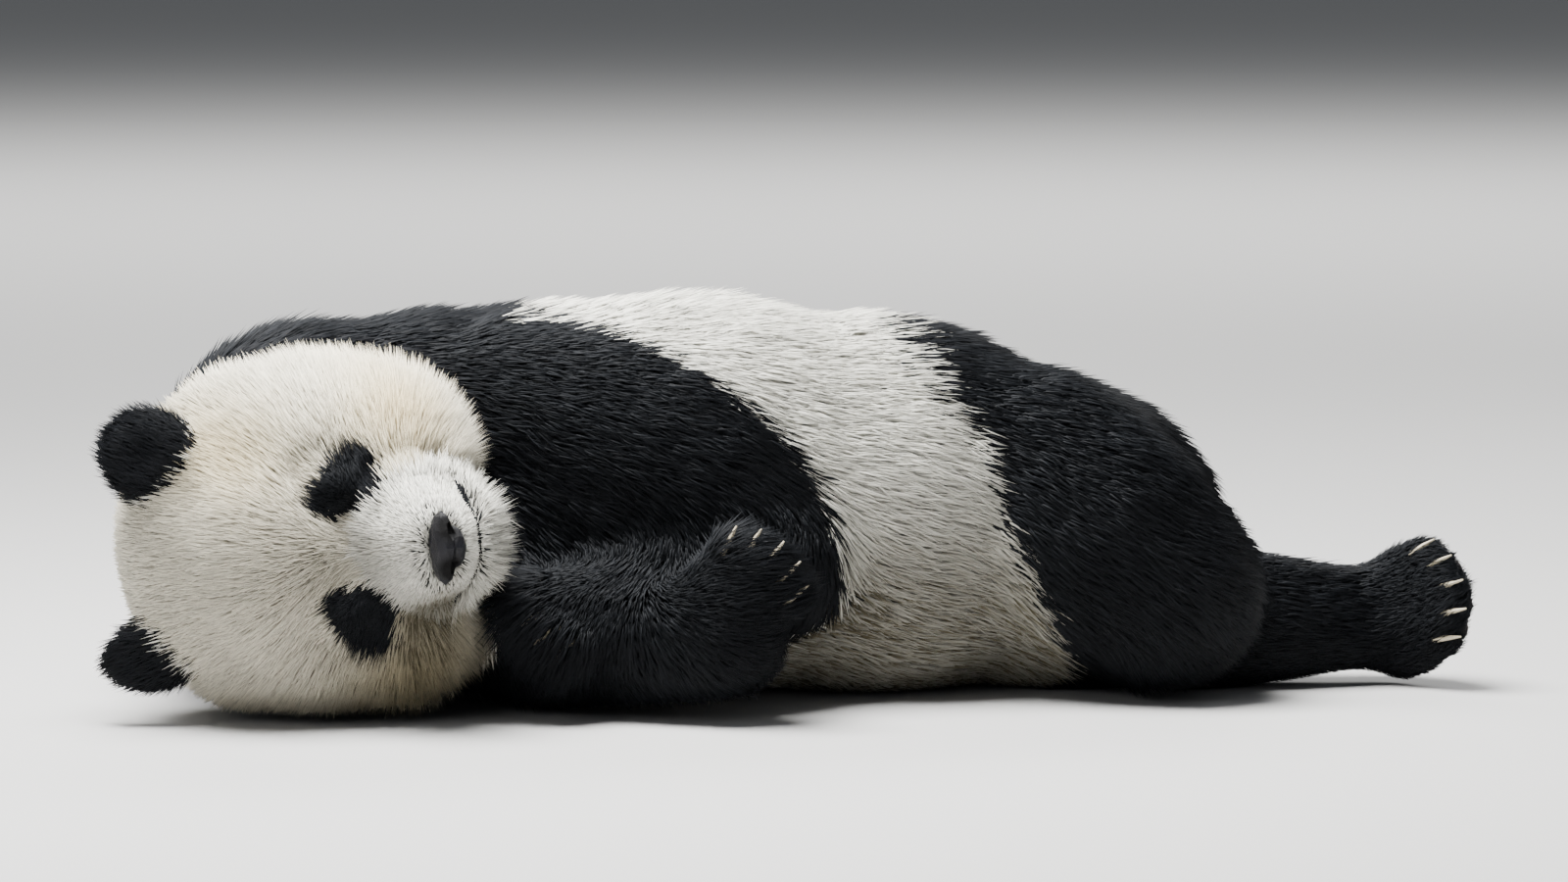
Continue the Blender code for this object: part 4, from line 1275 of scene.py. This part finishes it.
def grown(name, tree, values):
    """One piece of the coat, grown on a copy of the skin."""
    grower = link_piece("grower", _built["skin"].data.copy())
    grow = grower.modifiers.new("tufts", "NODES")
    grow.node_group = tree
    for item in tree.interface.items_tree:
        if item.in_out == "INPUT" and item.name in values:
            grow[item.identifier] = values[item.name]
    mesh = evaluated_mesh(grower, name)
    mesh.shade_smooth()
    lean_on_skin(mesh)
    for spare in SPARE_ATTRIBUTES:
        mesh.attributes.remove(mesh.attributes[spare])
    return link_piece(name, mesh)


def build_coat(sizes):
    """Each piece of the coat, after the run that it belongs to."""
    tree = coat_tree()
    short_tuft = tuft_object("short_tuft", 0.0, 0.0)
    long_tuft = tuft_object("long_tuft", LONG_WIDEST, LONG_BEND)
    finish = coat_finish()
    made = []
    for number, (run, name) in enumerate(_built["pieces"], 1):
        short = run in SHORT_RUNS
        strength, scale, spread = SHORT_TUFTS if short else LONG_TUFTS
        values = {
            "Tuft": short_tuft if short else long_tuft,
            "Piece": number,
            "Density": sizes.density,
            "Seed": sizes.seed + SEED_STEP * number,
            "Stray": sizes.stray,
            "Clump Strength": sizes.clump * strength,
            "Clump Scale": scale,
            "Length Spread": spread,
            "Border Softness": BORDER_SOFTNESS,
            "Patch": TUFT_PATCH,
            "Material": finish,
        }
        made.append((run, grown(name, tree, values)))
    for tuft in (short_tuft, long_tuft):
        bpy.data.objects.remove(tuft, do_unlink=True)
    return made


# ---------------------------------------------------------------- finishes

# How a tuft's soiling and painted shade, and its light, go with its own shade, and from its root to its tip:
# start and rise. The darker root is painted shade between the tufts
SOIL_SHADE_BY_TONE = (0.70, 0.80)
SOIL_SHADE_TO_TIP = (1.0, -0.45)
LIGHT_BY_SHADE = (0.58, 0.42)
ROOT_SHADE_TO_TIP = (0.48, 0.52)
# The black coat's lighter tips are a painted sheen
BLACK_TIPS = 4.0  # how many times lighter the black coat's tips are
BLACK_TIP_SHARE = 0.6
# The skin between the tufts, streaked as they are, and as dark as their roots: painted shade under the coat
STREAKS = 420.0
STREAK_DETAIL = 3.0
STREAK_BUMP = (0.6, 0.002)  # strength and distance
# Leather: its pebbles to a metre, their depth in metres, and how much lighter it is between them
NOSE_LEATHER = {"pebbles": 700.0, "depth": 0.0006, "roughness": 0.30}
PAD_LEATHER = {"pebbles": 420.0, "depth": 0.001, "roughness": 0.6}
PEBBLE_STRENGTH = 0.5
PEBBLE_LIGHT = 1.8
LEATHER_GLOSS = 0.2
NOSTRIL_ROUGHNESS = 0.6  # how much rougher the nose is inside the nostrils
# Where the nostrils' shade is painted: the middle of each, its reach and soft rim, and the black of the
# painted shade
NOSTRIL_FORWARD = 0.226
NOSTRIL_UP = -0.0945
NOSTRIL_OUT = 0.0205
NOSTRIL_REACH = 0.0185
NOSTRIL_RIM = 0.009
NOSTRIL_PAINTED_SHADE = (0.0008, 0.0007, 0.0007)


def new_finish(name, values):
    """A material with its tree and shader, and the shader's even values set."""
    made = bpy.data.materials.new(name)
    made.use_nodes = True
    shader = made.node_tree.nodes["Principled BSDF"]
    for key, value in values.items():
        shader.inputs[key].default_value = value
    return made, made.node_tree, shader


def object_place(tree):
    return tree.nodes.new("ShaderNodeTexCoord").outputs["Object"]


def attribute(tree, name):
    return add_node(tree, "ShaderNodeAttribute", attribute_name=name).outputs["Fac"]


def mixed_colour(tree, share, first, second, blend="MIX"):
    made = tree.nodes.new("ShaderNodeMix")
    made.data_type = "RGBA"
    made.blend_type = blend
    for key, value in ((0, share), (6, first), (7, second)):
        if isinstance(value, bpy.types.NodeSocket):
            tree.links.new(value, made.inputs[key])
        else:
            made.inputs[key].default_value = value if isinstance(value, float) else (*value, 1.0)[:4]
    return made.outputs[2]


def coat_colour(tree, tone, soil_and_shade, warm, shade, along):
    """The colour of the coat: white, cream and soiled with painted shade, or black, with each tuft a little
    its own shade, painted shade at its root and, when black, a painted sheen towards its tip.
    """
    colours = bpy.context.scene.panda_colours
    white = mixed_colour(tree, warm, colours.white, colours.cream)
    # Soiled fur and painted shade, mixed into the white unevenly from tuft to tuft
    uneven = times(tree, soil_and_shade, rising(tree, shade, *SOIL_SHADE_BY_TONE))
    white = mixed_colour(tree, times(tree, uneven, rising(tree, along, *SOIL_SHADE_TO_TIP)), white, colours.soil_and_shade)
    # Each tuft's own tone, darker at its root: painted shade between the tufts
    light = times(tree, rising(tree, shade, *LIGHT_BY_SHADE), rising(tree, along, *ROOT_SHADE_TO_TIP))
    grey = add_node(tree, "ShaderNodeCombineColor", {0: light, 1: light, 2: light}).outputs[0]
    white = mixed_colour(tree, 1.0, white, grey, "MULTIPLY")
    # Black, lighter towards the tips of the lighter tufts: a painted sheen
    tips = tuple(BLACK_TIPS * part for part in colours.black)
    painted_tip_sheen = times(tree, times(tree, along, shade), BLACK_TIP_SHARE)
    black = mixed_colour(tree, painted_tip_sheen, colours.black, tips)
    return mixed_colour(tree, tone, white, black)


def coat_finish():
    made, tree, shader = new_finish("panda_fur", {"Roughness": 0.6, "Specular IOR Level": 0.09})
    kept = ("coat_black", "coat_soil", "coat_warm", "coat_shade", "coat_along")
    colour = coat_colour(tree, *(attribute(tree, name) for name in kept))
    tree.links.new(colour, shader.inputs["Base Color"])
    return made


def skin_finish():
    made, tree, shader = new_finish("panda_undercoat", {"Roughness": 0.8, "Specular IOR Level": 0.1})
    streak = noise(tree, object_place(tree), STREAKS, STREAK_DETAIL).outputs[0]
    tone = plus(tree, attribute(tree, "skin_tone"), maths(tree, "SUBTRACT", streak, NOISE_MIDDLE))
    tone = maths(tree, "GREATER_THAN", tone, BLACK_OVER)
    # With no way along a tuft, the skin takes the tufts' darkest root: painted shade under the coat
    colour = coat_colour(tree, tone, attribute(tree, "skin_soil"), attribute(tree, "skin_warm"), streak, 0.0)
    tree.links.new(colour, shader.inputs["Base Color"])
    strength, distance = STREAK_BUMP
    bump = add_node(tree, "ShaderNodeBump", {"Height": streak, "Strength": strength, "Distance": distance})
    tree.links.new(bump.outputs[0], shader.inputs["Normal"])
    return made


def leather(name, colour, pebbles, depth, roughness):
    """Bare pebbled leather, without its colour: its material, tree, shader, tint and place."""
    made, tree, shader = new_finish(name, {"Roughness": roughness, "Specular IOR Level": LEATHER_GLOSS})
    where = object_place(tree)
    cells = add_node(tree, "ShaderNodeTexVoronoi", {"Vector": where, "Scale": pebbles})
    height = cells.outputs["Distance"]
    values = {"Height": height, "Strength": PEBBLE_STRENGTH, "Distance": depth}
    bump = add_node(tree, "ShaderNodeBump", values)
    tree.links.new(bump.outputs[0], shader.inputs["Normal"])
    lighter = tuple(min(1.0, PEBBLE_LIGHT * part) for part in colour)
    return made, tree, shader, mixed_colour(tree, height, colour, lighter), where


def pad_finish():
    colour = bpy.context.scene.panda_colours.pad
    made, tree, shader, tint, _ = leather("panda_pad_leather", colour, **PAD_LEATHER)
    tree.links.new(tint, shader.inputs["Base Color"])
    return made


def nose_finish():
    """The nose's leather, dull inside the two nostrils and painted black over and round them as shade."""
    colour = bpy.context.scene.panda_colours.nose
    made, tree, shader, tint, where = leather("panda_nose_leather", colour, **NOSE_LEATHER)
    inside = 0.0
    for side in SIDES:
        middle = on_head(NOSTRIL_FORWARD, NOSTRIL_UP, NOSTRIL_OUT * side)
        reach = vector_maths(tree, "LENGTH", vector_maths(tree, "SUBTRACT", where, tuple(middle)))
        near = maths(tree, "DIVIDE", maths(tree, "SUBTRACT", NOSTRIL_REACH, reach), NOSTRIL_RIM)
        near = add_node(tree, "ShaderNodeClamp", {"Value": near}).outputs[0]
        inside = plus(tree, inside, near)
    tree.links.new(mixed_colour(tree, inside, tint, NOSTRIL_PAINTED_SHADE), shader.inputs["Base Color"])
    rough = rising(tree, inside, NOSE_LEATHER["roughness"], NOSTRIL_ROUGHNESS)
    tree.links.new(rough, shader.inputs["Roughness"])
    return made


def mottled_finish(name, colour, shine, darkest, scale, detail):
    """A finish that is darker in fine spots, down to a share of its colour."""
    made, tree, shader = new_finish(name, shine)
    grain = noise(tree, object_place(tree), scale, detail).outputs[0]
    darker = tuple(darkest * part for part in colour)
    tree.links.new(mixed_colour(tree, grain, darker, colour), shader.inputs["Base Color"])
    return made


def horn_finish():
    colour = bpy.context.scene.panda_colours.claw
    shine = {"Roughness": 0.35}
    return mottled_finish("panda_claw_horn", colour, shine, darkest=0.45, scale=260.0, detail=3.0)


def eye_finish():
    colour = bpy.context.scene.panda_colours.eye
    shine = {"Roughness": 0.06, "Coat Weight": 1.0}
    return mottled_finish("panda_eye_brown", colour, shine, darkest=0.3, scale=600.0, detail=2.0)


def give_finish(node, finish):
    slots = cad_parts[node].data.materials
    slots.clear()
    slots.append(finish)


# ---------------------------------------------------------------- stage

FLOOR_HALF = 40.0
FILM_WIDTH = 36.0  # in millimetres
CLIP_END = 200.0
SKY_COLOUR = (0.80, 0.84, 0.90, 1.0)
SKY_STRENGTH = 0.25
# Each light: where it hangs, what it faces, its size and its power in watts
STUDIO_LIGHTS = (
    ("light_top", (-0.7, -0.4, 3.0), (0.0, 0.0, 0.2), (2.4, 1.8), 640.0),
    ("light_front", (-2.4, -3.6, 1.9), (0.0, 0.0, 0.2), (2.6, 1.8), 30.0),
    ("light_back", (2.2, 2.6, 2.0), (0.0, 0.0, 0.2), (2.0, 1.4), 40.0),
    ("light_backdrop", (0.0, 9.0, 6.0), (0.0, 8.0, 0.2), (9.0, 4.0), 1500.0),
)


def set_facing(obj, place, way):
    obj.location = place
    obj.rotation_euler = way.to_track_quat("-Z", "Y").to_euler()


def build_floor(colour):
    floor = link_piece("stage_floor", bpy.data.meshes.new("stage_floor"))
    form = bmesh.new()
    bmesh.ops.create_grid(form, x_segments=1, y_segments=1, size=FLOOR_HALF)
    form.to_mesh(floor.data)
    form.free()
    finish, _, _ = new_finish("stage_floor", {"Base Color": (*colour, 1.0), "Roughness": 0.9})
    floor.data.materials.append(finish)


def build_camera(settings):
    target = Vector((SHIFT.x, SHIFT.y, settings.target_height))
    back = Vector((0.0, -math.cos(settings.elevation), math.sin(settings.elevation)))
    camera = link_piece("camera", bpy.data.cameras.new("camera"))
    set_facing(camera, target + back * settings.distance, -back)
    camera.data.sensor_width = FILM_WIDTH
    camera.data.lens = settings.lens
    camera.data.clip_end = CLIP_END
    bpy.context.scene.camera = camera


def build_lights():
    for name, place, faces, size, power in STUDIO_LIGHTS:
        light = link_piece(name, bpy.data.lights.new(name, "AREA"))
        light.data.shape = "RECTANGLE"
        light.data.size, light.data.size_y = size
        light.data.energy = power
        set_facing(light, Vector(place), Vector(faces) - Vector(place))
    world = bpy.data.worlds.new("studio")
    world.use_nodes = True
    sky = world.node_tree.nodes["Background"].inputs
    sky["Color"].default_value = SKY_COLOUR
    sky["Strength"].default_value = SKY_STRENGTH
    bpy.context.scene.world = world


# ---------------------------------------------------------------- operators


class PANDA_OT_skin(bpy.types.Operator):
    """Makes one skin over the flesh parts, with closed lids and the line of the mouth"""

    bl_idname = "panda.skin"
    bl_label = "Skin"

    def execute(self, context):
        skin = build_skin(context.scene.panda_coat)
        skin.data.materials.append(skin_finish())
        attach(skin, "root")
        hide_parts(*flesh_nodes())
        return {"FINISHED"}


class PANDA_OT_coat(bpy.types.Operator):
    """Grows the coat over the skin in tufts that follow its lie"""

    bl_idname = "panda.coat"
    bl_label = "Coat"

    def execute(self, context):
        for run, piece in build_coat(context.scene.panda_coat):
            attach(piece, "root")
        return {"FINISHED"}


class PANDA_OT_pads(bpy.types.Operator):
    """Sets the bare leather pads into the soles of the hind feet"""

    bl_idname = "panda.pads"
    bl_label = "Pads"

    def execute(self, context):
        pads = build_pads()
        pads.data.materials.append(pad_finish())
        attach(pads, "root")
        return {"FINISHED"}


class PANDA_OT_features(bpy.types.Operator):
    """Finishes the eyes, nose and claws"""

    bl_idname = "panda.features"
    bl_label = "Eyes, nose and claws"

    def execute(self, context):
        give_finish("nose", nose_finish())
        horn = horn_finish()
        brown = eye_finish()
        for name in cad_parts:
            if "claw" in name:
                give_finish(name, horn)
            elif name in EYE_NODES:
                give_finish(name, brown)
        return {"FINISHED"}


class PANDA_OT_stage(bpy.types.Operator):
    """Sets the floor, the soft light and the camera"""

    bl_idname = "panda.stage"
    bl_label = "Stage"

    def execute(self, context):
        build_floor(context.scene.panda_stage.floor)
        build_camera(context.scene.panda_stage)
        build_lights()
        return {"FINISHED"}


STEPS = (PANDA_OT_skin, PANDA_OT_coat, PANDA_OT_pads, PANDA_OT_features, PANDA_OT_stage)


class PANDA_PT_panel(bpy.types.Panel):
    """The panda's sizes, colours and steps"""

    bl_idname = "PANDA_PT_panel"
    bl_label = "Sleeping Giant Panda"
    bl_space_type = "VIEW_3D"
    bl_region_type = "UI"
    bl_category = "Panda"

    def draw(self, context):
        for step in STEPS:
            self.layout.operator(step.bl_idname)
        for name, group in GROUPS.items():
            box = self.layout.box()
            for prop in group.__annotations__:
                box.prop(getattr(context.scene, name), prop)


def register():
    for name, group in GROUPS.items():
        bpy.utils.register_class(group)
        setattr(bpy.types.Scene, name, bpy.props.PointerProperty(type=group))
    for kind in (*STEPS, PANDA_PT_panel):
        bpy.utils.register_class(kind)


def unregister():
    for kind in (PANDA_PT_panel, *reversed(STEPS)):
        bpy.utils.unregister_class(kind)
    for name, group in GROUPS.items():
        delattr(bpy.types.Scene, name)
        bpy.utils.unregister_class(group)


def main():
    register()
    bpy.ops.panda.skin()
    bpy.ops.panda.coat()
    bpy.ops.panda.pads()
    bpy.ops.panda.features()
    bpy.ops.panda.stage()


if __name__ == "__main__":
    main()
